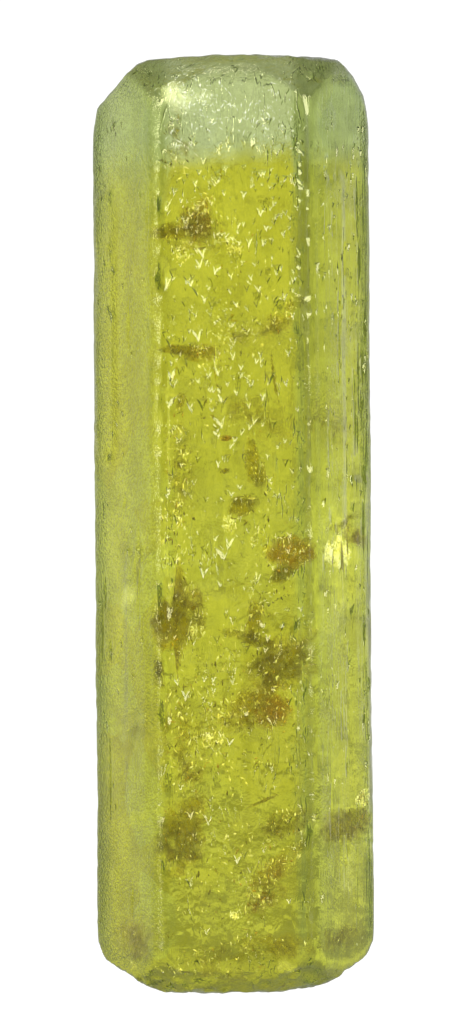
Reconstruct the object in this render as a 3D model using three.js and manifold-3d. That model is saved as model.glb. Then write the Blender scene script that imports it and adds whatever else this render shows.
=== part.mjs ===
// A heliodor crystal: one six-sided beryl prism, capped at both ends by a flat face with sloping corner faces,
// its sides marked by low growth steps, lengthwise grooves and small V-shaped pits left by natural etching.
// Millimetres and degrees, +Z up along the crystal. The origin is the middle of the flat foot that it stands on.
import * as THREE from "three";
import { mergeVertices } from "three/addons/utils/BufferGeometryUtils.js";
import Module from "manifold-3d";

// Overall height, and how far each prism face stands from the crystal's axis, by the way that the face looks.
const HEIGHT = 44;
const PRISM_FACES = [
  { name: "front", azimuth: -90, distance: 5.3 },
  { name: "front_right", azimuth: -30, distance: 5.87 },
  { name: "back_right", azimuth: 30, distance: 5.61 },
  { name: "back", azimuth: 90, distance: 5.3 },
  { name: "back_left", azimuth: 150, distance: 5.73 },
  { name: "front_left", azimuth: 210, distance: 5.75 },
];

// The narrow strip that blunts each upright edge, between face i and face i + 1.
const STRIP_WIDTHS = [0.38, 0.5, 0.34, 0.3, 0.5, 0.42];

// The sloping corner faces, for each upright edge: its cuts from steep to nearly flat, each with its slope above
// the horizontal and how far down the edge its plane reaches from the end. The first and last cut of an edge soften
// the shoulders of the main one between them. Edge i lies between face i and face i + 1.
const TOP_CORNERS = [
  [[72, 2.3], [48, 1.85], [22, 0.85]],
  [[77, 2.75], [59, 2.2], [48, 1.75], [26, 0.93], [4, 0.28]],
  [[70, 2.0], [46, 1.55], [20, 0.75]],
  [[74, 2.5], [50, 2.0], [24, 0.9]],
  [[77, 3.33], [48, 2.63], [20, 1.09], [3, 0.3]],
  [[73, 2.45], [45, 1.95], [21, 0.9]],
];
const FOOT_CORNERS = [
  [[66, 1.9], [41, 1.5], [14, 0.5]],
  [[67, 2.3], [36, 1.9], [21, 1.22], [5, 0.42]],
  [[68, 1.8], [40, 1.35], [15, 0.5]],
  [[66, 2.1], [38, 1.65], [14, 0.55]],
  [[68, 2.3], [33, 1.76], [8, 0.5]],
  [[69, 1.75], [42, 1.3], [15, 0.45]],
];

// The low bevels along the rim of each end, for each prism face, in the same way.
const TOP_BEVELS = [
  [[60, 0.85], [31, 0.6]],
  [[62, 0.75], [33, 0.5]],
  [[60, 0.6], [30, 0.4]],
  [[61, 0.85], [32, 0.6]],
  [[58, 0.55], [30, 0.35]],
  [[62, 0.8], [34, 0.55]],
];
const FOOT_BEVELS = [
  [[62, 1.0], [40, 0.7]],
  [[60, 1.15], [38, 0.85]],
  [[58, 0.65], [33, 0.45]],
  [[60, 0.85], [36, 0.6]],
  [[58, 0.6], [32, 0.4]],
  [[61, 0.8], [36, 0.55]],
];

// Growth steps: low plates on the prism faces, with fingered ends. Each spans a share of its face's width, from the
// left edge at 0 to the right edge at 1, and the heights between its two ends.
const STEP_HEIGHT = 0.07;
const STEP_EMBED = 0.3;
const FINGERS = 8;
const FINGER_LENGTH = 1.3;
const SIDE_BENDS = 5;
const SIDE_DRIFT = 0.22;
const GROWTH_STEPS = [
  { face: 0, left: 0.38, right: 0.97, foot: 30.6, top: 40.4 },
  { face: 0, left: 0.03, right: 0.4, foot: 18.4, top: 30.0 },
  { face: 0, left: 0.56, right: 0.94, foot: 5.6, top: 17.8 },
  { face: 1, left: 0.12, right: 0.55, foot: 21.5, top: 38.8 },
  { face: 1, left: 0.6, right: 0.97, foot: 7.4, top: 24.6 },
  { face: 2, left: 0.03, right: 0.46, foot: 13.5, top: 34.0 },
  { face: 2, left: 0.62, right: 0.95, foot: 24.0, top: 39.5 },
  { face: 3, left: 0.05, right: 0.48, foot: 20.0, top: 37.6 },
  { face: 3, left: 0.52, right: 0.97, foot: 5.0, top: 19.5 },
  { face: 4, left: 0.3, right: 0.82, foot: 9.0, top: 29.6 },
  { face: 5, left: 0.03, right: 0.38, foot: 24.5, top: 38.0 },
  { face: 5, left: 0.5, right: 0.9, foot: 7.8, top: 21.2 },
];

// Etched marks on the prism faces: how many V-shaped pits and lengthwise grooves each face has, and how large.
const PITS_BY_FACE = [110, 26, 44, 64, 40, 34];
const GROOVES_BY_FACE = [14, 34, 16, 18, 20, 12];
const PIT_SIZE = { least: 0.3, most: 0.62, depth: 0.34 };
const GROOVE_SIZE = { leastLength: 1.0, mostLength: 4.2, width: 0.26, depth: 0.12 };
const MARK_MARGIN = 0.35;
const MARKS_TOP = HEIGHT - 3.0;
const MARKS_FOOT = 2.4;

// Etched pits on the two flat ends.
const END_PITS = { top: 22, foot: 26, reach: 3.3, least: 0.3, most: 0.75, depth: 0.3 };
const FOOT_CLEAR_RADIUS = 0.9;

// Chips out of the upright edges: the edge, the height of the middle, the length and how deep it bites.
const CHIPS = [
  { edge: 5, up: 36.9, length: 1.7, bite: 0.2 },
  { edge: 5, up: 33.6, length: 2.4, bite: 0.26 },
  { edge: 5, up: 27.9, length: 1.5, bite: 0.18 },
  { edge: 5, up: 18.4, length: 3.4, bite: 0.3 },
  { edge: 5, up: 13.2, length: 2.4, bite: 0.24 },
  { edge: 5, up: 6.1, length: 1.6, bite: 0.2 },
  { edge: 0, up: 34.8, length: 1.9, bite: 0.2 },
  { edge: 0, up: 28.6, length: 1.3, bite: 0.16 },
  { edge: 0, up: 22.3, length: 1.6, bite: 0.18 },
  { edge: 0, up: 14.6, length: 2.2, bite: 0.2 },
  { edge: 0, up: 7.6, length: 2.6, bite: 0.25 },
  { edge: 1, up: 26.4, length: 2.0, bite: 0.1 },
  { edge: 1, up: 20.6, length: 1.6, bite: 0.14 },
  { edge: 2, up: 30.0, length: 2.6, bite: 0.26 },
  { edge: 2, up: 15.1, length: 1.8, bite: 0.2 },
  { edge: 3, up: 10.2, length: 3.0, bite: 0.28 },
  { edge: 3, up: 33.0, length: 2.0, bite: 0.2 },
  { edge: 4, up: 8.9, length: 1.7, bite: 0.14 },
  { edge: 4, up: 28.4, length: 2.1, bite: 0.1 },
];

// Broken scallops along the rim of the foot: the way from the axis, the height, the size and how deep each bites.
const FOOT_SCALLOPS = [
  { azimuth: 205, out: 5.15, up: 0.95, size: 0.8 },
  { azimuth: 222, out: 5.0, up: 0.45, size: 0.7 },
  { azimuth: 243, out: 5.2, up: 0.2, size: 0.75 },
  { azimuth: 262, out: 5.1, up: 0.1, size: 0.6 },
  { azimuth: 284, out: 5.15, up: 0.15, size: 0.55 },
  { azimuth: 318, out: 5.2, up: 0.35, size: 0.6 },
  { azimuth: 24, out: 5.1, up: 0.3, size: 0.7 },
  { azimuth: 96, out: 5.0, up: 0.15, size: 0.65 },
  { azimuth: 140, out: 5.1, up: 0.3, size: 0.6 },
];

const CHIP_ROUND = 2.4;
const CUTTER_SIZE = 60;
const MARK_LIFT = 0.2;
const MERGE_WITHIN = 1e-4;
const COLOUR = 0xb9bc48;

const wasm = await Module();
wasm.setup();

const radians = THREE.MathUtils.degToRad;

// A closed geometry as a solid that can be joined and cut.
function toSolid(geometry) {
  const bare = geometry.index ? geometry.toNonIndexed() : geometry.clone();
  bare.deleteAttribute("normal");
  bare.deleteAttribute("uv");
  const merged = mergeVertices(bare, MERGE_WITHIN);
  const mesh = new wasm.Mesh({
    numProp: 3,
    vertProperties: new Float32Array(merged.attributes.position.array),
    triVerts: new Uint32Array(merged.index.array),
  });
  return new wasm.Manifold(mesh);
}

// A solid as a geometry with flat faces.
function toGeometry(solid) {
  const mesh = solid.getMesh();
  const geometry = new THREE.BufferGeometry();
  geometry.setAttribute("position", new THREE.BufferAttribute(mesh.vertProperties, 3));
  geometry.setIndex(new THREE.BufferAttribute(mesh.triVerts, 1));
  const flat = geometry.toNonIndexed();
  flat.computeVertexNormals();
  return flat;
}

// The same number from 0 to 1 for the same count and purpose, with no pattern to the eye.
function scatter(count, purpose) {
  const value = Math.sin(count * 12.9898 + purpose * 78.233) * 43758.5453;
  return value - Math.floor(value);
}

// The outward direction of a face or edge, level with the ground.
function outward(azimuth) {
  return new THREE.Vector3(Math.cos(radians(azimuth)), Math.sin(radians(azimuth)), 0);
}

// Where two upright planes meet, seen from above.
function crossing(a, b) {
  const na = outward(a.azimuth);
  const nb = outward(b.azimuth);
  const turn = na.x * nb.y - na.y * nb.x;
  return new THREE.Vector2(
    (a.distance * nb.y - b.distance * na.y) / turn,
    (na.x * b.distance - nb.x * a.distance) / turn,
  );
}

// The upright edges: where each lies and the blunting strip's own plane.
const EDGES = PRISM_FACES.map((face, i) => {
  const next = PRISM_FACES[(i + 1) % PRISM_FACES.length];
  const corner = crossing(face, next);
  const azimuth = face.azimuth + 30;
  const toCorner = corner.x * Math.cos(radians(azimuth)) + corner.y * Math.sin(radians(azimuth));
  const bite = STRIP_WIDTHS[i] / (2 * Math.tan(radians(60)));
  return { azimuth, distance: toCorner - bite, corner };
});

// The twelve upright planes in order, and the outline that they enclose.
const UPRIGHT_PLANES = PRISM_FACES.flatMap((face, i) => [face, EDGES[i]]);
const OUTLINE = UPRIGHT_PLANES.map((plane, i) =>
  crossing(plane, UPRIGHT_PLANES[(i + 1) % UPRIGHT_PLANES.length]),
);

// The plain prism, standing on the ground.
function prism() {
  return toSolid(new THREE.ExtrudeGeometry(new THREE.Shape(OUTLINE), { depth: HEIGHT, bevelEnabled: false }));
}

// Everything on the outer side of a plane, as a block whose face lies on the plane.
function beyond(point, normal) {
  const block = new THREE.BoxGeometry(CUTTER_SIZE, CUTTER_SIZE, CUTTER_SIZE);
  block.translate(0, 0, CUTTER_SIZE / 2);
  block.applyQuaternion(new THREE.Quaternion().setFromUnitVectors(new THREE.Vector3(0, 0, 1), normal));
  block.translate(point.x, point.y, point.z);
  return toSolid(block);
}

// The block that leaves one sloping face at an end. The slope is above the horizontal, and end is 1 at the top
// and -1 at the foot.
function slopingCut(azimuth, distance, slope, reach, end) {
  const normal = outward(azimuth).multiplyScalar(Math.sin(radians(slope)));
  normal.z = end * Math.cos(radians(slope));
  const point = outward(azimuth).multiplyScalar(distance);
  point.z = end > 0 ? HEIGHT - reach : reach;
  return beyond(point, normal);
}

// All the sloping faces of one end.
function endCuts(corners, bevels, end) {
  const cutsAt = (planes) => (cuts, i) =>
    cuts.map(([slope, reach]) => slopingCut(planes[i].azimuth, planes[i].distance, slope, reach, end));
  return [...corners.flatMap(cutsAt(EDGES)), ...bevels.flatMap(cutsAt(PRISM_FACES))];
}

// Puts a geometry that lies on the XY plane, with +Z outwards, onto a prism face: x runs along it and y up it.
function ontoFace(geometry, face, along, up) {
  const out = outward(face.azimuth);
  const tangent = new THREE.Vector3(-out.y, out.x, 0);
  const place = new THREE.Matrix4().makeBasis(tangent, new THREE.Vector3(0, 0, 1), out);
  place.setPosition(out.clone().multiplyScalar(face.distance).addScaledVector(tangent, along).setZ(up));
  return geometry.applyMatrix4(place);
}

// A face's extent along its own tangent, from one blunted edge to the other.
function faceSpan(i) {
  const out = outward(PRISM_FACES[i].azimuth);
  const points = [OUTLINE[(2 * i + OUTLINE.length - 1) % OUTLINE.length], OUTLINE[2 * i]];
  const along = points.map((p) => -out.y * p.x + out.x * p.y);
  return { low: Math.min(...along), high: Math.max(...along) };
}

// One end of a growth step's outline, from left to right: fingers of uneven length, at a height above the middle.
function fingeredEnd(halfWidth, halfHeight, purpose) {
  return Array.from({ length: FINGERS + 1 }, (_, k) => {
    const share = k % 2 ? 0.45 + 0.55 * scatter(k, purpose) : 0.25 * scatter(k, purpose);
    return new THREE.Vector2(halfWidth * ((2 * k) / FINGERS - 1), halfHeight - FINGER_LENGTH * share);
  });
}

// One long side of a growth step's outline, from foot to top, drifting a little to and fro.
function driftingSide(halfWidth, halfHeight, purpose) {
  const reach = halfHeight - 1.2 * FINGER_LENGTH;
  return Array.from({ length: SIDE_BENDS }, (_, k) => {
    const share = (k + 0.3 + 0.4 * scatter(k, purpose + 1)) / SIDE_BENDS;
    return new THREE.Vector2(halfWidth - SIDE_DRIFT * scatter(k, purpose), reach * (2 * share - 1));
  });
}

// A growth step: a low plate whose two ends are fingered, sunk a little into its face.
function growthStep({ face, left, right, foot, top }, count) {
  const span = faceSpan(face);
  const low = THREE.MathUtils.lerp(span.low, span.high, left);
  const high = THREE.MathUtils.lerp(span.low, span.high, right);
  const halfWidth = (high - low) / 2;
  const halfHeight = (top - foot) / 2;
  const purpose = 4 * count;
  const lower = fingeredEnd(halfWidth, halfHeight, purpose).map((p) => new THREE.Vector2(p.x, -p.y));
  const rightSide = driftingSide(halfWidth, halfHeight, purpose + 1);
  const upper = fingeredEnd(halfWidth, halfHeight, purpose + 2).reverse();
  const leftSide = driftingSide(halfWidth, halfHeight, purpose + 3)
    .map((p) => new THREE.Vector2(-p.x, p.y))
    .reverse();
  const outline = new THREE.Shape([...lower, ...rightSide, ...upper, ...leftSide]);
  const plate = new THREE.ExtrudeGeometry(outline, { depth: STEP_EMBED + STEP_HEIGHT, bevelEnabled: false });
  plate.translate(0, 0, -STEP_EMBED);
  return toSolid(ontoFace(plate, PRISM_FACES[face], (low + high) / 2, (foot + top) / 2));
}

// The block for a pit: an upside-down pyramid, scaled so that it has its stated size where it meets the surface.
function pitBlock(sides, width, length, depth) {
  const grow = (depth + MARK_LIFT) / depth;
  const block = new THREE.ConeGeometry(1, 1, sides);
  block.rotateX(-Math.PI / 2);
  block.scale((width / 2) * grow, (length / 2) * grow, depth + MARK_LIFT);
  block.translate(0, 0, (MARK_LIFT - depth) / 2);
  return block;
}

// The V-shaped pits of one face: three-sided, with their points down, thicker on the ground at some heights.
function pits(i) {
  const span = faceSpan(i);
  const width = span.high - span.low - 2 * MARK_MARGIN;
  return Array.from({ length: PITS_BY_FACE[i] }, (_, k) => {
    const size = THREE.MathUtils.lerp(PIT_SIZE.least, PIT_SIZE.most, scatter(k, 20 + i) ** 2);
    const along = span.low + MARK_MARGIN + width * scatter(k, 30 + i);
    const up = MARKS_FOOT + (MARKS_TOP - MARKS_FOOT) * scatter(k, 40 + i) ** 0.7;
    const block = pitBlock(3, size, size * 1.35, size * PIT_SIZE.depth);
    block.rotateZ(Math.PI + 0.3 * (scatter(k, 50 + i) - 0.5));
    return toSolid(ontoFace(block, PRISM_FACES[i], along, up));
  });
}

// The lengthwise grooves of one face: four-sided pits drawn out along the crystal.
function grooves(i) {
  const span = faceSpan(i);
  const width = span.high - span.low - 2 * MARK_MARGIN;
  return Array.from({ length: GROOVES_BY_FACE[i] }, (_, k) => {
    const share = scatter(k, 60 + i) ** 2;
    const length = THREE.MathUtils.lerp(GROOVE_SIZE.leastLength, GROOVE_SIZE.mostLength, share);
    const along = span.low + MARK_MARGIN + width * scatter(k, 70 + i);
    const up = MARKS_FOOT + length / 2 + (MARKS_TOP - MARKS_FOOT - length) * scatter(k, 80 + i);
    const block = pitBlock(4, GROOVE_SIZE.width, length, GROOVE_SIZE.depth);
    return toSolid(ontoFace(block, PRISM_FACES[i], along, up));
  });
}

// The pits of a flat end. Those of the foot stay clear of its middle, which the crystal rests on.
function endPits(count, end, purpose) {
  return Array.from({ length: count }, (_, k) => {
    const size = THREE.MathUtils.lerp(END_PITS.least, END_PITS.most, scatter(k, purpose) ** 2);
    const least = FOOT_CLEAR_RADIUS / END_PITS.reach;
    const out = END_PITS.reach * Math.sqrt(THREE.MathUtils.lerp(least * least, 1, scatter(k, purpose + 1)));
    const turn = 2 * Math.PI * scatter(k, purpose + 2);
    const block = pitBlock(6, size, size, size * END_PITS.depth);
    if (end < 0) block.rotateX(Math.PI);
    block.translate(out * Math.cos(turn), out * Math.sin(turn), end > 0 ? HEIGHT : 0);
    return toSolid(block);
  });
}

// A chip out of an upright edge: a long eight-sided spindle laid along the edge.
function chip({ edge, up, length, bite }) {
  const { azimuth, distance } = EDGES[edge];
  const spindle = new THREE.SphereGeometry(1, 6, 4);
  spindle.rotateX(Math.PI / 2);
  spindle.scale(bite * CHIP_ROUND, bite * CHIP_ROUND, length / 2);
  const middle = outward(azimuth).multiplyScalar(distance + bite * (CHIP_ROUND - 1));
  spindle.translate(middle.x, middle.y, up);
  return toSolid(spindle);
}

// A scallop broken out of the foot's rim: a rough ball that bites into it from below.
function scallop({ azimuth, out, up, size }) {
  const ball = new THREE.IcosahedronGeometry(size, 0);
  const middle = outward(azimuth).multiplyScalar(out + size * 0.2);
  ball.translate(middle.x, middle.y, up - size * 0.75);
  return toSolid(ball);
}

// The whole crystal in one solid: the prism with its growth steps, less its ends' slopes and all its marks.
function crystalSolid() {
  const grown = GROWTH_STEPS.map(growthStep).reduce((solid, step) => solid.add(step), prism());
  const slopes = [...endCuts(TOP_CORNERS, TOP_BEVELS, 1), ...endCuts(FOOT_CORNERS, FOOT_BEVELS, -1)];
  const shaped = slopes.reduce((solid, slope) => solid.subtract(slope), grown);
  const marks = [
    ...CHIPS.map(chip),
    ...FOOT_SCALLOPS.map(scallop),
    ...PRISM_FACES.flatMap((_, i) => [...pits(i), ...grooves(i)]),
    ...endPits(END_PITS.top, 1, 90),
    ...endPits(END_PITS.foot, -1, 95),
  ];
  return shaped.subtract(marks.reduce((all, mark) => all.add(mark)));
}

const crystal = new THREE.Mesh(
  toGeometry(crystalSolid()),
  new THREE.MeshStandardMaterial({ color: COLOUR, roughness: 0.2, metalness: 0 }),
);
crystal.name = "crystal";

const group = new THREE.Group();
group.add(crystal);

export default group;
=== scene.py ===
"""A heliodor crystal: one six-sided prism of clear yellow-green beryl that stands on its flat foot.

Its skin is one closed surface, worked out on a grid round the crystal's axis and cut by V-shaped pits and
slits. Its veils, stains and bright films lie inside it, as thin films and flakes in its healed fractures; its
bright flakes glow as painted glints, some pale films near the top are painted highlights, and its tint paints
shade on its flanks, strips and outer edges.
Blender's unit is the metre, the sizes below are in millimetres, +Z is up along the crystal, and its front
face looks towards -Y.
"""

import logging
import math
from dataclasses import dataclass, field
from enum import Enum

import bpy
import numpy as np
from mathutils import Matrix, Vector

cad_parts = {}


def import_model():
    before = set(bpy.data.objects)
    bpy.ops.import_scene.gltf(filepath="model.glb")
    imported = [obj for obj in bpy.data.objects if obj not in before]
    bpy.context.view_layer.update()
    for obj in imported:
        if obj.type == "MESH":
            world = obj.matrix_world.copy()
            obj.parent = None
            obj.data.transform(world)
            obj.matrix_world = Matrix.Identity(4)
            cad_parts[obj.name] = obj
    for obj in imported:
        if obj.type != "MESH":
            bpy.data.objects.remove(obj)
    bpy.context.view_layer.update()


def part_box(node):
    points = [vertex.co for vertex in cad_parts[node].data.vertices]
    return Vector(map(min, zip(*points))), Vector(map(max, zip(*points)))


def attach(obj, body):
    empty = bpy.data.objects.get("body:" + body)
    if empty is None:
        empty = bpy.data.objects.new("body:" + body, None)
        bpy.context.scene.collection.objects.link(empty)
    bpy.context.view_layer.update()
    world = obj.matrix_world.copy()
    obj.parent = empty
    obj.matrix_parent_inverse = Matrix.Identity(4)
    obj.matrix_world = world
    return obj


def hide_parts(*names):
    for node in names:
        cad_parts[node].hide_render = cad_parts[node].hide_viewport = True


LOG = logging.getLogger("heliodor")
MM = 0.001
NODE = "crystal"
BODY = "root"

Arrays = tuple[np.ndarray, ...]
Colour = tuple[float, float, float, float]


@dataclass(frozen=True)
class Upright:
    """An upright plane: the way it looks, in degrees, and its distance from the axis."""

    azimuth: float
    distance: float

    @property
    def outward(self) -> np.ndarray:
        """The level direction that the plane looks in."""
        turn = math.radians(self.azimuth)
        return np.array([math.cos(turn), math.sin(turn), 0.0])

    @property
    def tangent(self) -> np.ndarray:
        """The level direction along the plane, to the right seen from outside."""
        turn = math.radians(self.azimuth)
        return np.array([-math.sin(turn), math.cos(turn), 0.0])


@dataclass(frozen=True)
class PrismFace(Upright):
    """An upright face of the prism and how many marks of each kind it has."""

    pits: int
    grooves: int
    fine_pits: int
    slits: int


PRISM_FACES = (
    PrismFace(-90.0, 5.3, pits=110, grooves=14, fine_pits=600, slits=60),
    PrismFace(-30.0, 5.87, pits=26, grooves=34, fine_pits=150, slits=30),
    PrismFace(30.0, 5.61, pits=44, grooves=16, fine_pits=90, slits=60),
    PrismFace(90.0, 5.3, pits=64, grooves=18, fine_pits=140, slits=40),
    PrismFace(150.0, 5.73, pits=40, grooves=20, fine_pits=60, slits=80),
    PrismFace(210.0, 5.75, pits=34, grooves=12, fine_pits=50, slits=16),
)
UPRIGHTS = 2 * len(PRISM_FACES)
STRIP_WIDTHS = (0.38, 0.5, 0.34, 0.3, 0.5, 0.42)
STRIP_NICKS = (0.07, 0.03, 0.08, 0.08, 0.03, 0.08)

# The sloping cuts at the two ends: each one's slope in degrees, and how far from the end it starts.
TOP_CORNERS = (
    ((72, 2.3), (48, 1.85), (22, 0.85)),
    ((77, 2.75), (59, 2.2), (48, 1.75), (26, 0.93), (4, 0.28)),
    ((70, 2.0), (46, 1.55), (20, 0.75)),
    ((74, 2.5), (50, 2.0), (24, 0.9)),
    ((77, 3.33), (48, 2.63), (20, 1.09), (3, 0.3)),
    ((73, 2.45), (45, 1.95), (21, 0.9)),
)
FOOT_CORNERS = (
    ((66, 1.9), (41, 1.5), (14, 0.5)),
    ((67, 2.3), (36, 1.9), (21, 1.22), (5, 0.42)),
    ((68, 1.8), (40, 1.35), (15, 0.5)),
    ((66, 2.1), (38, 1.65), (14, 0.55)),
    ((68, 2.3), (33, 1.76), (8, 0.5)),
    ((69, 1.75), (42, 1.3), (15, 0.45)),
)
TOP_BEVELS = (
    ((60, 0.85), (31, 0.6)),
    ((62, 0.75), (33, 0.5)),
    ((60, 0.6), (30, 0.4)),
    ((61, 0.85), (32, 0.6)),
    ((58, 0.55), (30, 0.35)),
    ((62, 0.8), (34, 0.55)),
)
FOOT_BEVELS = (
    ((62, 1.0), (40, 0.7)),
    ((60, 1.15), (38, 0.85)),
    ((58, 0.65), (33, 0.45)),
    ((60, 0.85), (36, 0.6)),
    ((58, 0.6), (32, 0.4)),
    ((61, 0.8), (36, 0.55)),
)


# Each flat end's way along Z, how many six-sided pits it has, and the purpose of their first random numbers.
END_PITS = ((1, 22, 90), (-1, 26, 95))


@dataclass(frozen=True)
class GrowthStep:
    """A low plate on a face: its shares of the face's width, and the heights of its two ends."""

    face: int
    left: float
    right: float
    foot: float
    top: float


GROWTH_STEPS = (
    GrowthStep(0, 0.38, 0.97, 30.6, 40.4),
    GrowthStep(0, 0.03, 0.4, 18.4, 30.0),
    GrowthStep(0, 0.56, 0.94, 5.6, 17.8),
    GrowthStep(1, 0.12, 0.55, 21.5, 38.8),
    GrowthStep(1, 0.6, 0.97, 7.4, 24.6),
    GrowthStep(2, 0.03, 0.46, 13.5, 34.0),
    GrowthStep(2, 0.62, 0.95, 24.0, 39.5),
    GrowthStep(3, 0.05, 0.48, 20.0, 37.6),
    GrowthStep(3, 0.52, 0.97, 5.0, 19.5),
    GrowthStep(4, 0.3, 0.82, 9.0, 29.6),
    GrowthStep(5, 0.03, 0.38, 24.5, 38.0),
    GrowthStep(5, 0.5, 0.9, 7.8, 21.2),
)


@dataclass(frozen=True)
class Chip:
    """A chip out of an upright edge: the edge, the height of its middle, its length and how deep it bites."""

    edge: int
    up: float
    length: float
    bite: float


CHIPS = (
    Chip(5, 36.9, 1.7, 0.2),
    Chip(5, 33.6, 2.4, 0.26),
    Chip(5, 27.9, 1.5, 0.18),
    Chip(5, 18.4, 3.4, 0.3),
    Chip(5, 13.2, 2.4, 0.24),
    Chip(5, 6.1, 1.6, 0.2),
    Chip(0, 34.8, 1.9, 0.2),
    Chip(0, 28.6, 1.3, 0.16),
    Chip(0, 22.3, 1.6, 0.18),
    Chip(0, 14.6, 2.2, 0.2),
    Chip(0, 7.6, 2.6, 0.25),
    Chip(1, 26.4, 2.0, 0.1),
    Chip(1, 20.6, 1.6, 0.14),
    Chip(2, 30.0, 2.6, 0.26),
    Chip(2, 15.1, 1.8, 0.2),
    Chip(3, 10.2, 3.0, 0.28),
    Chip(3, 33.0, 2.0, 0.2),
    Chip(4, 8.9, 1.7, 0.14),
    Chip(4, 28.4, 2.1, 0.1),
)


@dataclass(frozen=True)
class Scallop:
    """A bite out of the foot's rim: the way from the axis, the distance out, the height and the size."""

    azimuth: float
    out: float
    up: float
    size: float


FOOT_SCALLOPS = (
    Scallop(205, 5.15, 0.95, 0.8),
    Scallop(222, 5.0, 0.45, 0.7),
    Scallop(243, 5.2, 0.2, 0.75),
    Scallop(262, 5.1, 0.1, 0.6),
    Scallop(284, 5.15, 0.15, 0.55),
    Scallop(318, 5.2, 0.35, 0.6),
    Scallop(24, 5.1, 0.3, 0.7),
    Scallop(96, 5.0, 0.15, 0.65),
    Scallop(140, 5.1, 0.3, 0.6),
)


def scatter(count: np.ndarray | int, purpose: int) -> np.ndarray:
    """The fraction left of a large multiple of the sine of a count: a number from 0 to 1 with no pattern.

    Args:
        count: which mark it is for.
        purpose: what the number is for, so that each use has its own row of numbers.

    Returns:
        The same numbers from 0 to 1 each run.
    """
    value = np.sin(count * 12.9898 + purpose * 78.233) * 43758.5453
    return value - np.floor(value)


def ease(value: np.ndarray, low: float, high: float) -> np.ndarray:
    """A smooth rise from 0 at low to 1 at high: three times the share squared less twice its cube."""
    share = np.clip((value - low) / (high - low), 0.0, 1.0)
    return share * share * (3.0 - 2.0 * share)


def lattice_value(cells: np.ndarray, seed: int) -> np.ndarray:
    """A repeatable number from -1 to 1 for each whole-number cell of a lattice."""
    mixed = cells.astype(np.int64) @ np.array([73856093, 19349663, 83492791]) + seed * 2654435761
    mixed = ((mixed ^ (mixed >> 13)) * 1274126177) & 0x7FFFFFFF
    return ((mixed ^ (mixed >> 11)) & 0xFFFF) / 32767.5 - 1.0


def noise(points: np.ndarray, period: tuple[float, float, float], seed: int) -> np.ndarray:
    """Smooth noise: a random value at each corner of a lattice, blended across each cell by a smooth step.

    Args:
        points: places, with x, y and z last.
        period: the lattice's cell size along each axis.
        seed: which noise it is.

    Returns:
        A value from -1 to 1 for each point.
    """
    place = points / np.array(period)
    cell = np.floor(place)
    share = place - cell
    share = share * share * (3.0 - 2.0 * share)
    total = np.zeros(points.shape[:-1])
    for corner in np.ndindex(2, 2, 2):
        weight = np.prod(np.where(np.array(corner) == 1, share, 1.0 - share), axis=-1)
        total += weight * lattice_value(cell + np.array(corner), seed)
    return total


def crossing(first: Upright, second: Upright) -> np.ndarray:
    """Where two upright planes meet, seen from above: the solution of their two line equations."""
    ways = np.array([first.outward[:2], second.outward[:2]])
    return np.linalg.solve(ways, np.array([first.distance, second.distance]))


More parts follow.
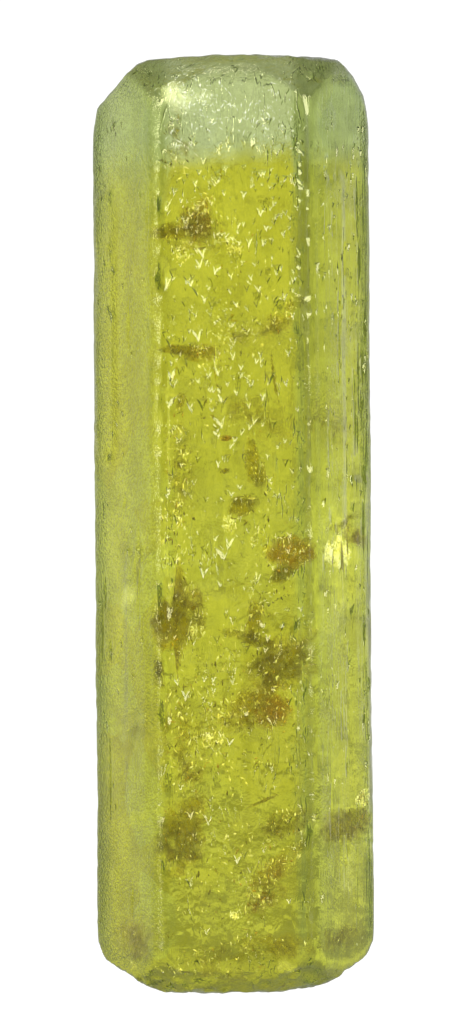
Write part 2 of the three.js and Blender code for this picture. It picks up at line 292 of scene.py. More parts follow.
@dataclass
class CrystalForm:
    """The planes that bound the crystal."""

    height: float
    faces_front: float = -0.2
    strips: tuple[Upright, ...] = field(init=False)
    normals: np.ndarray = field(init=False)
    offsets: np.ndarray = field(init=False)

    def __post_init__(self) -> None:
        """Works out the blunting strips, then every plane's outward normal and distance from the origin."""
        self.strips = tuple(self.strip(edge) for edge in range(len(PRISM_FACES)))
        planes = [(plane.outward, plane.distance) for plane in (*PRISM_FACES, *self.strips)]
        for end, corners, bevels in ((1, TOP_CORNERS, TOP_BEVELS), (-1, FOOT_CORNERS, FOOT_BEVELS)):
            for uprights, tables in ((self.strips, corners), (PRISM_FACES, bevels)):
                for upright, cuts in zip(uprights, tables):
                    planes += [self.slope(upright, angle, reach, end) for angle, reach in cuts]
        planes += [(np.array([0.0, 0.0, 1.0]), self.height), (np.array([0.0, 0.0, -1.0]), 0.0)]
        self.normals = np.array([normal for normal, _ in planes])
        self.offsets = np.array([offset for _, offset in planes])

    def strip(self, edge: int) -> Upright:
        """The narrow plane that blunts the edge between a face and the next.

        It lies inside the edge by half its own width over the tangent of 60 degrees.
        """
        face, beyond = PRISM_FACES[edge], PRISM_FACES[(edge + 1) % len(PRISM_FACES)]
        azimuth = face.azimuth + 30.0
        corner = crossing(face, beyond)
        out = float(corner @ Upright(azimuth, 0.0).outward[:2])
        return Upright(azimuth, out - STRIP_WIDTHS[edge] / (2.0 * math.tan(math.radians(60.0))))

    def slope(self, upright: Upright, angle: float, reach: float, end: int) -> tuple[np.ndarray, float]:
        """A sloping plane at one end.

        Args:
            upright: the upright plane that it cuts.
            angle: its slope above the horizontal, in degrees.
            reach: how far from the end it meets the upright plane.
            end: 1 at the top, -1 at the foot.

        Returns:
            Its outward normal and its distance from the origin.
        """
        turn = math.radians(angle)
        normal = upright.outward * math.sin(turn) + np.array([0.0, 0.0, end * math.cos(turn)])
        level = self.height - reach if end > 0 else reach
        point = upright.outward * upright.distance + np.array([0.0, 0.0, level])
        return normal, float(normal @ point)

    def span(self, face: int) -> tuple[float, float]:
        """A face's extent along its own tangent, from one blunted edge to the other."""
        plane = PRISM_FACES[face]
        ends = [crossing(plane, self.strips[face - 1]), crossing(plane, self.strips[face])]
        along = [float(plane.tangent[:2] @ end) for end in ends]
        return min(along), max(along)

    def depth(self, points: np.ndarray) -> np.ndarray:
        """How deep points lie: the least, over all the planes, of the plane's distance less the point's."""
        return (self.offsets - points @ self.normals.T).min(axis=-1)

    def behind(self, middle: float, x: np.ndarray, z: np.ndarray, deep: np.ndarray, ior: float) -> np.ndarray:
        """The points inside that a level view from the front shows at given places.

        A ray towards +Y enters by the front plane that it meets, bends there by Snell's law and goes on
        straight inside. All the points are seen through the plane that shows their middle.

        Args:
            middle: the place across of their middle, as seen.
            x: the places across, as seen.
            z: their heights.
            deep: how far along the bent ray the points lie.
            ior: the crystal's index of refraction.

        Returns:
            The points.
        """
        front = np.flatnonzero(self.normals[:UPRIGHTS, 1] < self.faces_front)
        entry = (self.offsets[front] - middle * self.normals[front, 0]) / self.normals[front, 1]
        met = front[entry.argmax()]
        normal, offset = self.normals[met], self.offsets[met]
        slant = -normal[1]
        bend = slant / ior - math.sqrt(1.0 - (1.0 - slant**2) / ior**2)
        way = np.array([0.0, 1.0 / ior, 0.0]) + bend * normal
        start = np.stack([x, (offset - x * normal[0]) / normal[1], z], axis=-1)
        return start + deep[..., None] * way


def new_mesh(name: str, points: np.ndarray, faces: list[np.ndarray]) -> bpy.types.Mesh:
    """A mesh from arrays.

    Args:
        name: the mesh's name.
        points: vertices in millimetres, one a row.
        faces: arrays of vertex numbers, each array's faces with one count of corners.

    Returns:
        The mesh, in metres.
    """
    mesh = bpy.data.meshes.new(name)
    corners = np.concatenate([block.ravel() for block in faces]).astype(np.int32)
    sizes = np.concatenate([np.full(len(block), block.shape[1]) for block in faces])
    starts = np.concatenate([[0], np.cumsum(sizes)[:-1]]).astype(np.int32)
    mesh.vertices.add(len(points))
    mesh.loops.add(len(corners))
    mesh.polygons.add(len(sizes))
    mesh.vertices.foreach_set("co", (points * MM).astype(np.float32).ravel())
    mesh.loops.foreach_set("vertex_index", corners)
    mesh.polygons.foreach_set("loop_start", starts)
    mesh.update(calc_edges=True)
    mesh.validate()
    return mesh


def new_object(name: str, data: bpy.types.ID) -> bpy.types.Object:
    """An object at the origin that shows a mesh, a lamp or a camera."""
    made = bpy.data.objects.new(name, data)
    bpy.context.scene.collection.objects.link(made)
    return made


def closed_grid(rows: int, columns: int) -> Arrays:
    """The faces of a sheet of rings that is closed at each end by a fan round one more point.

    Args:
        rows: how many rings it has.
        columns: how many points there are in each ring.

    Returns:
        The quads between the rings, and the triangles of both fans, round the two points after the rings.
    """
    number = np.arange(rows * columns).reshape(rows, columns)
    right = np.roll(number, -1, axis=1)
    quads = np.stack([number[:-1], right[:-1], right[1:], number[1:]], axis=-1).reshape(-1, 4)
    first, last = np.full(columns, rows * columns), np.full(columns, rows * columns + 1)
    first_fan = np.stack([right[0], number[0], first], axis=-1)
    last_fan = np.stack([number[-1], right[-1], last], axis=-1)
    return quads, np.concatenate([first_fan, last_fan])


@dataclass(frozen=True)
class Marks:
    """Etched pits of one kind on one plane, as arrays in millimetres and radians."""

    corners: int
    along: np.ndarray
    up: np.ndarray
    width: np.ndarray
    length: np.ndarray
    depth: np.ndarray
    turn: np.ndarray
    rise: np.ndarray
    lift: float
    floor: float

    def only(self, chosen: np.ndarray) -> "Marks":
        """The marks that a mask picks."""
        arrays = (self.along, self.up, self.width, self.length, self.depth, self.turn, self.rise)
        return Marks(self.corners, *(values[chosen] for values in arrays), self.lift, self.floor)


@dataclass
class EtchedMarks:
    """The V-shaped pits, grooves and slits, as the upside-down pyramids that are cut out of the skin."""

    form: CrystalForm
    skin: "CrystalSkin"
    margin: float = 0.35
    fine_margin: float = 0.1
    lowest: float = 2.4
    highest_below_top: float = 3.0
    finest_below_top: float = 3.1
    edge_clear: float = 0.16
    fine_clear: float = 0.05
    strip_density: float = 2.5
    top_density: float = 8.0
    foot_density: float = 4.0
    lift: float = 0.06
    foot_clear: float = 0.9
    pit_floor: float = 0.62
    clusters: int = 23
    cluster_spread: float = 1.6
    groove_width: float = 0.26
    groove_depth: float = 0.055
    groove_floor: float = 0.9
    strip_reach: float = 0.3
    strip_largest: float = 0.15
    slope_reach: float = 3.2
    slope_largest: float = 0.34
    end_reach: float = 3.3
    end_pit_depth: float = 0.3

    def pits(self, face: int) -> Marks:
        """The V-shaped pits that the solid has too, from 0.3 to 0.62 mm wide."""
        count = np.arange(PRISM_FACES[face].pits)
        size = 0.3 + 0.32 * scatter(count, 20 + face) ** 2
        along, up = self.spread(face, count, 30 + face, 40 + face, 0.7, self.margin)
        depth = size * (0.12 + 0.1 * scatter(count, 55 + face))
        turn = 0.3 * (scatter(count, 50 + face) - 0.5)
        return self.marks(3, face, self.edge_clear, along, up, size, size * 1.35, depth, turn)

    def grooves(self, face: int) -> Marks:
        """The lengthwise grooves that the solid has too, from 1 to 4.2 mm long, but a little shallower."""
        count = np.arange(PRISM_FACES[face].grooves)
        length = 1.0 + 3.2 * scatter(count, 60 + face) ** 2
        low, high = self.form.span(face)
        along = low + self.margin + (high - low - 2 * self.margin) * scatter(count, 70 + face)
        room = self.form.height - self.highest_below_top - self.lowest - length
        up = self.lowest + length / 2 + room * scatter(count, 80 + face)
        width, depth = np.full(len(count), self.groove_width), np.full(len(count), self.groove_depth)
        return self.marks(4, face, self.edge_clear, along, up, width, length, depth, np.zeros(len(count)))

    def fine_pits(self, face: int) -> Marks:
        """Small V-shaped pits between the larger ones, from 0.14 to 0.34 mm wide, in loose clusters."""
        count = np.arange(PRISM_FACES[face].fine_pits)
        size = 0.14 + 0.2 * scatter(count, 120 + face) ** 1.5
        along, up = self.spread(face, count, 130 + face, 140 + face, 0.42, self.fine_margin)
        highest = self.form.height - self.finest_below_top
        stretch = (highest - self.lowest) / (self.form.height - self.highest_below_top - self.lowest)
        cluster = self.cluster_spread * (scatter(count % self.clusters, 150 + face) - 0.5)
        up = self.lowest + (up - self.lowest) * stretch + cluster
        up = np.maximum(np.where(up > highest, 2.0 * highest - up, up), self.lowest)
        depth = size * (0.12 + 0.12 * scatter(count, 160 + face))
        turn = 0.5 * (scatter(count, 170 + face) - 0.5)
        return self.marks(3, face, self.fine_clear, along, up, size, size * 1.5, depth, turn)

    def slits(self, face: int) -> Marks:
        """Narrow slits along the crystal, from 0.3 to 1.5 mm long."""
        count = np.arange(PRISM_FACES[face].slits)
        length = 0.3 + 1.2 * scatter(count, 180 + face) ** 2
        along, up = self.spread(face, count, 190 + face, 200 + face, 0.5, self.fine_margin)
        width = 0.08 + 0.08 * scatter(count, 210 + face)
        turn = 0.06 * (scatter(count, 220 + face) - 0.5)
        return self.marks(4, face, self.fine_clear, along, up, width, length, width * 0.32, turn)

    def end_grains(self, plane: int, reach: tuple[float, float], density: float, largest: float) -> Marks:
        """Small pits all over a plane of any slope, from 0.1 mm wide and turned at random.

        Args:
            plane: which plane.
            reach: how far they may lie from where the plane's own places are counted, along and up it.
            density: how many there are for each square millimetre.
            largest: how wide the widest is.

        Returns:
            The pits.
        """
        count = np.arange(round(4.0 * reach[0] * reach[1] * density))
        purpose = 300 + 7 * plane
        along = reach[0] * (2.0 * scatter(count, purpose) - 1.0)
        up = reach[1] * (2.0 * scatter(count, purpose + 1) - 1.0)
        size = 0.1 + (largest - 0.1) * scatter(count, purpose + 2) ** 1.5
        depth = size * (0.14 + 0.16 * scatter(count, purpose + 3))
        turn = 2.4 * (scatter(count, purpose + 4) - 0.5)
        return self.marks(3, plane, self.fine_clear, along, up, size, size * 1.6, depth, turn)

    def frame(self, plane: int) -> Arrays:
        """Where a plane's own places are counted from, and its directions along, up and outwards.

        A place's height on an upright plane is counted from the foot, and on a slope from the point that a
        perpendicular from the axis, at the height where the fan of rows starts, meets.

        Args:
            plane: which plane.

        Returns:
            The origin and the three directions, one a row.
        """
        outward, offset = self.form.normals[plane], self.form.offsets[plane]
        tangent = np.cross([0.0, 0.0, 1.0], outward)
        tangent /= np.linalg.norm(tangent)
        fan = self.skin.fan_height
        height = 0.0 if plane < UPRIGHTS else fan if outward[2] < 0.0 else self.form.height - fan
        start = np.array([0.0, 0.0, height])
        origin = start + outward * (offset - start @ outward)
        return origin, np.array([tangent, np.cross(outward, tangent), outward])

    def marks(
        self, corners: int, plane: int, clear: float, along: np.ndarray, up: np.ndarray, *sizes: np.ndarray
    ) -> Marks:
        """Marks on a plane that start at the skin's own relief, three-cornered pits with a wide floor.

        Args:
            corners: how many corners they have.
            plane: which plane they are on.
            clear: how far they stay from the other planes.
            along: their places along the plane.
            up: their places up it.
            sizes: their widths, lengths, depths and turns.

        Returns:
            The marks.
        """
        origin, frame = self.frame(plane)
        points = origin + along[:, None] * frame[0] + up[:, None] * frame[1]
        shares = np.zeros((len(along), len(self.form.offsets)))
        shares[:, plane] = 1.0
        floor = self.pit_floor if corners == 3 else self.groove_floor
        found = Marks(corners, along, up, *sizes, self.skin.relief(points, shares), self.lift, floor)
        gaps = self.form.offsets - points @ self.form.normals.T
        return found.only(np.delete(gaps, plane, axis=1).min(axis=1) > clear)

    def spread(
        self, face: int, count: np.ndarray, across: int, upward: int, bias: float, margin: float
    ) -> Arrays:
        """Places over a face.

        Args:
            face: which face.
            count: the marks' numbers.
            across: the purpose of the numbers for their place across the face.
            upward: the purpose of the numbers for their height.
            bias: the power that the height's share is raised to; under 1, more marks lie high up.
            margin: how far from the face's two edges they stay.

        Returns:
            Their places along the face and their heights.
        """
        low, high = self.form.span(face)
        top = self.form.height - self.highest_below_top
        along = low + margin + (high - low - 2 * margin) * scatter(count, across)
        return along, self.lowest + (top - self.lowest) * scatter(count, upward) ** bias

    def end_pits(self, count: int, purpose: int) -> Arrays:
        """The places and sizes of the six-sided pits on a flat end, clear of its middle."""
        number = np.arange(count)
        size = 0.3 + 0.45 * scatter(number, purpose) ** 2
        least = (self.foot_clear / self.end_reach) ** 2
        out = self.end_reach * np.sqrt(least + (1.0 - least) * scatter(number, purpose + 1))
        turn = 2.0 * np.pi * scatter(number, purpose + 2)
        return out * np.cos(turn), out * np.sin(turn), size

    def pyramids(self, marks: Marks, origin: np.ndarray, frame: np.ndarray) -> Arrays:
        """Upside-down pyramids cut off flat: a ring of corners above the surface and a smaller one below it.

        The rings keep the pyramid's proportions: each is as wide as its height above the pyramid's point.

        Args:
            marks: the pits.
            origin: the point that their places are counted from.
            frame: the directions along, up and out of the plane, one a row.

        Returns:
            Each pyramid's vertices, and the triangles of any one of them.
        """
        corners = marks.corners
        start = 0.0 if corners == 4 else np.pi / 2 + np.pi / corners
        angle = start + 2.0 * np.pi * np.arange(corners) / corners
        depth = marks.depth[:, None]
        level = np.concatenate([np.full_like(depth, marks.lift), -marks.floor * depth], axis=1)
        grow = np.repeat((depth + level) / depth, corners, axis=1)
        flat_x = np.tile(np.cos(angle), 2) * marks.width[:, None] / 2 * grow
        flat_y = np.tile(np.sin(angle), 2) * marks.length[:, None] / 2 * grow
        cos, sin = np.cos(marks.turn)[:, None], np.sin(marks.turn)[:, None]
        x = marks.along[:, None] + flat_x * cos - flat_y * sin
        y = marks.up[:, None] + flat_x * sin + flat_y * cos
        z = np.repeat(level, corners, axis=1) + marks.rise[:, None]
        points = origin + x[..., None] * frame[0] + y[..., None] * frame[1] + z[..., None] * frame[2]
        ring = np.arange(corners)
        after = np.roll(ring, -1)
        sides = np.stack([after, ring, ring + corners, after, ring + corners, after + corners], axis=1)
        lid = np.stack([np.zeros(corners - 2, int), ring[1:-1], ring[2:]], axis=1)
        return points, np.concatenate([sides.reshape(-1, 3), lid, lid[:, ::-1] + corners])

    def rounds(self, low: np.ndarray, high: np.ndarray) -> np.ndarray:
        """Shares the marks out over rounds of cutting, so that no two boxes of one round overlap.

        Args:
            low: the lowest corner of each mark's box.
            high: the highest corner of it.

        Returns:
            Each mark's round, counted from 0.
        """
        rounds = np.zeros(len(low), int)
        for number in range(1, len(rounds)):
            meets = (low[:number] < high[number]).all(axis=1) & (high[:number] > low[number]).all(axis=1)
            taken = set(rounds[:number][meets])
            rounds[number] = next(choice for choice in range(number + 1) if choice not in taken)
        return rounds

    def cutters(self) -> list[bpy.types.Object]:
        """The objects that cut one after the other, each of pyramids that stay clear of each other."""
        shapes = [self.pyramids(marks, *place) for kinds, place in self.planes() for marks in kinds]
        low = np.concatenate([points.min(axis=1) for points, _ in shapes])
        high = np.concatenate([points.max(axis=1) for points, _ in shapes])
        rounds = self.rounds(low, high)
        starts = np.cumsum([0] + [len(points) for points, _ in shapes])
        made = []
        for number in range(rounds.max() + 1):
            chosen, triangles, total = [], [], 0
            for (points, shape), start in zip(shapes, starts):
                own = points[rounds[start : start + len(points)] == number]
                base = total + points.shape[1] * np.arange(len(own))
                triangles.append((shape[None] + base[:, None, None]).reshape(-1, 3))
                chosen.append(own.reshape(-1, 3))
                total += own.shape[0] * own.shape[1]
            mesh = new_mesh(f"cutter_{number}", np.concatenate(chosen), [np.concatenate(triangles)])
            made.append(new_object(mesh.name, mesh))
        return made

    def planes(self) -> list[tuple[list[Marks], Arrays]]:
        """Each plane's sets of marks, with where they are counted from and their directions."""
        found = []
        for face in range(len(PRISM_FACES)):
            kinds = [self.pits(face), self.grooves(face), self.fine_pits(face), self.slits(face)]
            found.append((kinds, self.frame(face)))
        for strip in range(len(PRISM_FACES), UPRIGHTS):
            reach = (self.strip_reach, self.form.height)
            grains = self.end_grains(strip, reach, self.strip_density, self.strip_largest)
            found.append(([grains], self.frame(strip)))
        for slope in range(UPRIGHTS, len(self.form.offsets) - 2):
            density = self.top_density if self.form.normals[slope, 2] > 0.0 else self.foot_density
            grains = self.end_grains(slope, (self.slope_reach, self.slope_reach), density, self.slope_largest)
            found.append(([grains], self.frame(slope)))
        for end, count, purpose in END_PITS:
            x, y, size = self.end_pits(count, purpose)
            depth, level = size * self.end_pit_depth, np.zeros(count)
            marks = Marks(6, x, y * end, size, size, depth, level, level, self.lift, self.pit_floor)
            frame = np.array([[1.0, 0.0, 0.0], [0.0, end, 0.0], [0.0, 0.0, end]])
            found.append(([marks], (np.array([0.0, 0.0, self.form.height if end > 0 else 0.0]), frame)))
        return found


@dataclass
class CrystalSkin:
    """The crystal's outer surface: one closed sheet that refracts."""

    form: CrystalForm
    columns: int = 196
    side_rows: int = 164
    end_rows: int = 44
    fan_height: float = 5.0
    sharpness: float = 20.0
    step_height: float = 0.07
    fingers: int = 8
    finger_length: float = 1.3
    side_bends: int = 5
    side_drift: float = 0.22
    step_ramp: float = 0.08
    chip_round: float = 2.4
    scallop_out: float = 0.2
    scallop_down: float = 0.75
    scallop_round: float = 0.9
    fine_turns: int = 7201
    fine_rises: int = 900
    profile_turns: int = 48
    edge_crowding: float = 1.3
    edge_reach: float = 0.5
    rim_rise: float = 0.75
    rim_spread: float = 0.35
    last_gap: float = 0.004
    top_dip: float = 0.02
    sharp_angle: float = 24.0

    def rays(self, heights: np.ndarray, rises: np.ndarray, azimuths: np.ndarray) -> Arrays:
        """Walks out from the axis to the smooth minimum of the planes' distances.

        The distance along a ray is minus the log of the sum of exp(-sharpness times each plane's distance),
        over the sharpness, so that edges come out a little rounded.

        Args:
            heights: each row's starting height on the axis.
            rises: each row's angle above the horizontal, in radians.
            azimuths: each column's direction, in radians.

        Returns:
            The points, and each plane's share of them.
        """
        level = np.cos(rises)[:, None]
        ways = np.stack([
            level * np.cos(azimuths)[None],
            level * np.sin(azimuths)[None],
            np.broadcast_to(np.sin(rises)[:, None], (len(rises), len(azimuths))),
        ], axis=-1)
        starts = np.zeros_like(ways)
        starts[..., 2] = heights[:, None]
        towards = ways @ self.form.normals.T
        gaps = self.form.offsets - starts @ self.form.normals.T
        reach = np.where(towards > 1e-3, gaps / np.maximum(towards, 1e-3), 1e3)
        least = reach.min(axis=-1, keepdims=True)
        weights = np.exp(-self.sharpness * (reach - least))
        total = weights.sum(axis=-1, keepdims=True)
        distance = least - np.log(total) / self.sharpness
        return starts + ways * distance, weights / total

    def azimuths(self) -> np.ndarray:
        """Directions whose points lie evenly round the outline, with twice as many near the blunted edges."""
        fine = np.linspace(-np.pi, np.pi, self.fine_turns)
        middle = np.array([self.form.height / 2])
        outline = self.rays(middle, np.zeros(1), fine)[0][0, :, :2]
        lengths = np.linalg.norm(np.diff(outline, axis=0), axis=1)
        centres = (outline[1:] + outline[:-1]) / 2
        corners = np.array([strip.outward[:2] * strip.distance for strip in self.form.strips])
        away = np.linalg.norm(centres[:, None] - corners[None], axis=2).min(axis=1)
        crowding = self.edge_crowding * np.exp(-((away / self.edge_reach) ** 2))
        walked = np.r_[0.0, np.cumsum(lengths * (1.0 + crowding))]
        wanted = np.linspace(0.0, walked[-1], self.columns, endpoint=False)
        return np.interp(wanted, walked, fine)

    def rows(self) -> Arrays:
        """The rows' starting heights and rises from foot to top: a fan, the straight stretch, a fan."""
        fine = np.linspace(0.0, np.pi / 2 - self.last_gap, self.fine_rises)
        top = self.form.height - self.fan_height
        around = np.linspace(-np.pi, np.pi, self.profile_turns, endpoint=False)
        swept = self.rays(np.full(len(fine), top), fine, around)[0]
        out = np.linalg.norm(swept[..., :2], axis=-1).mean(axis=1)
        steps = np.hypot(np.diff(out), np.diff(swept.mean(axis=1)[:, 2]))
        near_rim = np.exp(-(((fine[1:] - self.rim_rise) / self.rim_spread) ** 2))
        walked = np.r_[0.0, np.cumsum(steps * (0.6 + near_rim))]
        fan = np.interp(np.linspace(0.0, walked[-1], self.end_rows), walked, fine)
        straight = np.linspace(self.fan_height, top, self.side_rows)[1:-1]
        heights = np.r_[np.full(len(fan), self.fan_height), straight, np.full(len(fan), top)]
        return heights, np.r_[-fan[::-1], np.zeros(len(straight)), fan]

    def finger_ends(self, half_width: float, half_height: float, purpose: int) -> Arrays:
        """One end of a growth step: uneven fingers, as places across and heights above its middle."""
        k = np.arange(self.fingers + 1)
        share = np.where(k % 2 == 1, 0.45 + 0.55 * scatter(k, purpose), 0.25 * scatter(k, purpose))
        return half_width * (2.0 * k / self.fingers - 1.0), half_height - self.finger_length * share

    def drifting_side(self, half_width: float, half_height: float, purpose: int) -> Arrays:
        """One long side of a growth step, as heights and distances out from its middle."""
        k = np.arange(self.side_bends)
        reach = half_height - 1.2 * self.finger_length
        share = (k + 0.3 + 0.4 * scatter(k, purpose + 1)) / self.side_bends
        return reach * (2.0 * share - 1.0), half_width - self.side_drift * scatter(k, purpose)

    def growth_step(self, step: GrowthStep, number: int, points: np.ndarray) -> np.ndarray:
        """How far a growth step raises each point: its height wherever the point is inside its outline."""
        low, high = self.form.span(step.face)
        left, right = low + (high - low) * step.left, low + (high - low) * step.right
        half_width, half_height = (right - left) / 2, (step.top - step.foot) / 2
        along = points @ PRISM_FACES[step.face].tangent - (left + right) / 2
        up = points[..., 2] - (step.foot + step.top) / 2
        borders = (
            (self.finger_ends, along, up),
            (self.drifting_side, up, -along),
            (self.finger_ends, along, -up),
            (self.drifting_side, up, along),
        )
        gaps = [
            np.interp(place, *border(half_width, half_height, 4 * number + purpose)) + away
            for purpose, (border, place, away) in enumerate(borders)
        ]
        return self.step_height * ease(np.min(gaps, axis=0), -self.step_ramp, self.step_ramp)

    def relief(self, points: np.ndarray, shares: np.ndarray) -> np.ndarray:
        """How far each point stands out: growth steps, gentle waves, ribs along the sides, rough rims."""
        out = np.zeros(points.shape[:-1])
        for number, step in enumerate(GROWTH_STEPS):
            out += shares[..., step.face] * self.growth_step(step, number, points)
        sides = shares[..., :UPRIGHTS].sum(axis=-1)
        out += 0.025 * noise(points, (2.2, 2.2, 5.0), 1) + 0.014 * noise(points, (0.8, 0.8, 1.8), 2)
        out += 0.01 * sides * noise(points, (0.38, 0.38, 2.6), 3)
        nicked = shares[..., len(PRISM_FACES) : UPRIGHTS] @ np.array(STRIP_NICKS)
        out -= nicked * ease(noise(points, (0.5, 0.5, 0.38), 7), -0.1, 0.6)
        ends = 1.0 - sides
        rough = 0.05 * noise(points, (0.7, 0.7, 0.5), 4) + 0.022 * noise(points, (0.3, 0.3, 0.26), 8) - 0.07
        out += ends * rough * np.where(points[..., 2] < self.fan_height, 1.6, 1.0)
        rim = ease(np.hypot(points[..., 0], points[..., 1]), 3.6, 4.8)
        foot_rim = rim * (1.0 - ease(points[..., 2], 0.5, 1.5))
        out -= 0.16 * foot_rim * ease(noise(points, (0.45, 0.45, 0.4), 5), -0.5, 0.5)
        top_rim = rim * ease(points[..., 2], self.form.height - 1.1, self.form.height - 0.4)
        out -= 0.05 * top_rim * (0.5 + 0.5 * noise(points, (0.35, 0.35, 0.35), 6))
        return out

    def bite(self, points: np.ndarray) -> np.ndarray:
        """Pushes points out of each chip's spindle and each scallop's ball, straight away from its middle."""
        for chip in CHIPS:
            strip = self.form.strips[chip.edge]
            radius = chip.bite * self.chip_round
            middle = strip.outward[:2] * (strip.distance + chip.bite * (self.chip_round - 1.0))
            share = np.clip(1.0 - ((points[..., 2] - chip.up) / (chip.length / 2)) ** 2, 0.0, 1.0)
            away = points[..., :2] - middle
            distance = np.linalg.norm(away, axis=-1)
            push = np.maximum(radius * np.sqrt(share) / distance, 1.0)
            points[..., :2] = middle + away * push[..., None]
        for scallop in FOOT_SCALLOPS:
            out = scallop.out + self.scallop_out * scallop.size
            middle = Upright(scallop.azimuth, 0.0).outward * out
            middle[2] = scallop.up - self.scallop_down * scallop.size
            away = points - middle
            distance = np.linalg.norm(away, axis=-1)
            push = np.maximum(self.scallop_round * scallop.size / distance, 1.0)
            points = middle + away * push[..., None]
        return points

    def surface(self) -> np.ndarray:
        """The grid of points, row by row from the foot, each moved out along its planes' blended normal."""
        points, shares = self.rays(*self.rows(), self.azimuths())
        facing = shares @ self.form.normals
        facing /= np.linalg.norm(facing, axis=-1, keepdims=True)
        points = points + facing * self.relief(points, shares)[..., None]
        points = self.bite(points)
        points[..., 2] = np.clip(points[..., 2], 0.0, self.form.height)
        return points

    def closed_mesh(self) -> bpy.types.Mesh:
        """The grid as quads, closed by a fan of triangles round the middle of each end."""
        grid = self.surface()
        middles = np.array([[0.0, 0.0, 0.0], [0.0, 0.0, self.form.height - self.top_dip]])
        points = np.concatenate([grid.reshape(-1, 3), middles])
        return new_mesh("crystal_skin", points, [*closed_grid(*grid.shape[:2])])

    def build(self, marks: EtchedMarks) -> bpy.types.Object:
        """Builds the skin and cuts the etched marks out of it.

        Args:
            marks: the pits, grooves and slits.

        Returns:
            The finished skin.
        """
        skin = new_object("crystal_skin", self.closed_mesh())
        for cutter in marks.cutters():
            self.cut(skin, cutter)
        skin.data.name = "crystal_skin"
        skin.data.shade_smooth()
        skin.data.set_sharp_from_angle(angle=math.radians(self.sharp_angle))
        return skin

    def cut(self, skin: bpy.types.Object, cutter: bpy.types.Object) -> None:
        """Takes a cutter's shapes out of the skin at once, and removes the cutter."""
        modifier = skin.modifiers.new(cutter.name, "BOOLEAN")
        modifier.operation, modifier.solver, modifier.object = "DIFFERENCE", "MANIFOLD", cutter
        graph = bpy.context.evaluated_depsgraph_get()
        etched = bpy.data.meshes.new_from_object(skin.evaluated_get(graph))
        skin.modifiers.clear()
        bpy.data.objects.remove(cutter)
        if etched.polygons:
            skin.data = etched
        else:
            LOG.warning("a round of marks was left uncut")


class Tone(Enum):
    """The kinds of flake and film that a veil holds, by the name of its count of such flakes."""

    DARK = "dark"
    RUSTY = "rusty"
    # Bright flakes glow as painted glints, and the pale films of this tone are partly painted highlights.
    BRIGHT = "bright"
    BLACK = "black"


# How far a veil's sheet waves in depth, and how fast, in radians a millimetre: across it and up it.
SHEET_WAVES = ((0.3, 2.1), (0.25, 1.7))


@dataclass(frozen=True)
class Veil:
    """A healed fracture inside the crystal, placed by what a view from the front shows of it.

    Its middle and its half sizes are as seen, in millimetres, its tilt is in degrees, and it lies so deep
    behind the face along the view. Olive and rust say how strongly its stained film covers, and pale how
    strongly its pale film does. Dark to black count its flakes, and flake is about half a flake's length.
    Its bright flakes glow as painted glints, and a few veils are painted highlights rather than fractures.
    """

    seen: tuple[float, float]
    reach: tuple[float, float]
    tilt: float = 0.0
    deep: float = 2.4
    olive: float = 0.0
    rust: float = 0.0
    pale: float = 0.0
    dark: int = 0
    rusty: int = 0
    bright: int = 0
    black: int = 0
    flake: float = 0.075

    def count(self, tone: Tone) -> int:
        """How many flakes of a tone it has."""
        return getattr(self, tone.value)

    def cover(self, tone: Tone) -> float:
        """How strongly its film of a tone covers: one film holds what is olive and what is rust."""
        return {Tone.DARK: self.olive + self.rust, Tone.BRIGHT: self.pale}[tone]

    def rusted(self) -> float:
        """How much of its dark film is rust, from 0 to 1."""
        return self.rust / max(self.olive + self.rust, 0.01)

    def place(self, across: np.ndarray, upward: np.ndarray) -> Arrays:
        """Where points of its oval are seen, and how deep they lie on its waving sheet.

        Args:
            across: their shares of its half length.
            upward: their shares of its half height.

        Returns:
            Their places across and up, and their depths.
        """
        s, t = self.reach[0] * across, self.reach[1] * upward
        tilt = math.radians(self.tilt)
        x = self.seen[0] + s * math.cos(tilt) - t * math.sin(tilt)
        z = self.seen[1] + s * math.sin(tilt) + t * math.cos(tilt)
        (wave_x, rate_x), (wave_z, rate_z) = SHEET_WAVES
        waves = wave_x * np.sin(rate_x * x + self.seen[1]) + wave_z * np.sin(rate_z * z + self.seen[0])
        return x, z, self.deep + waves


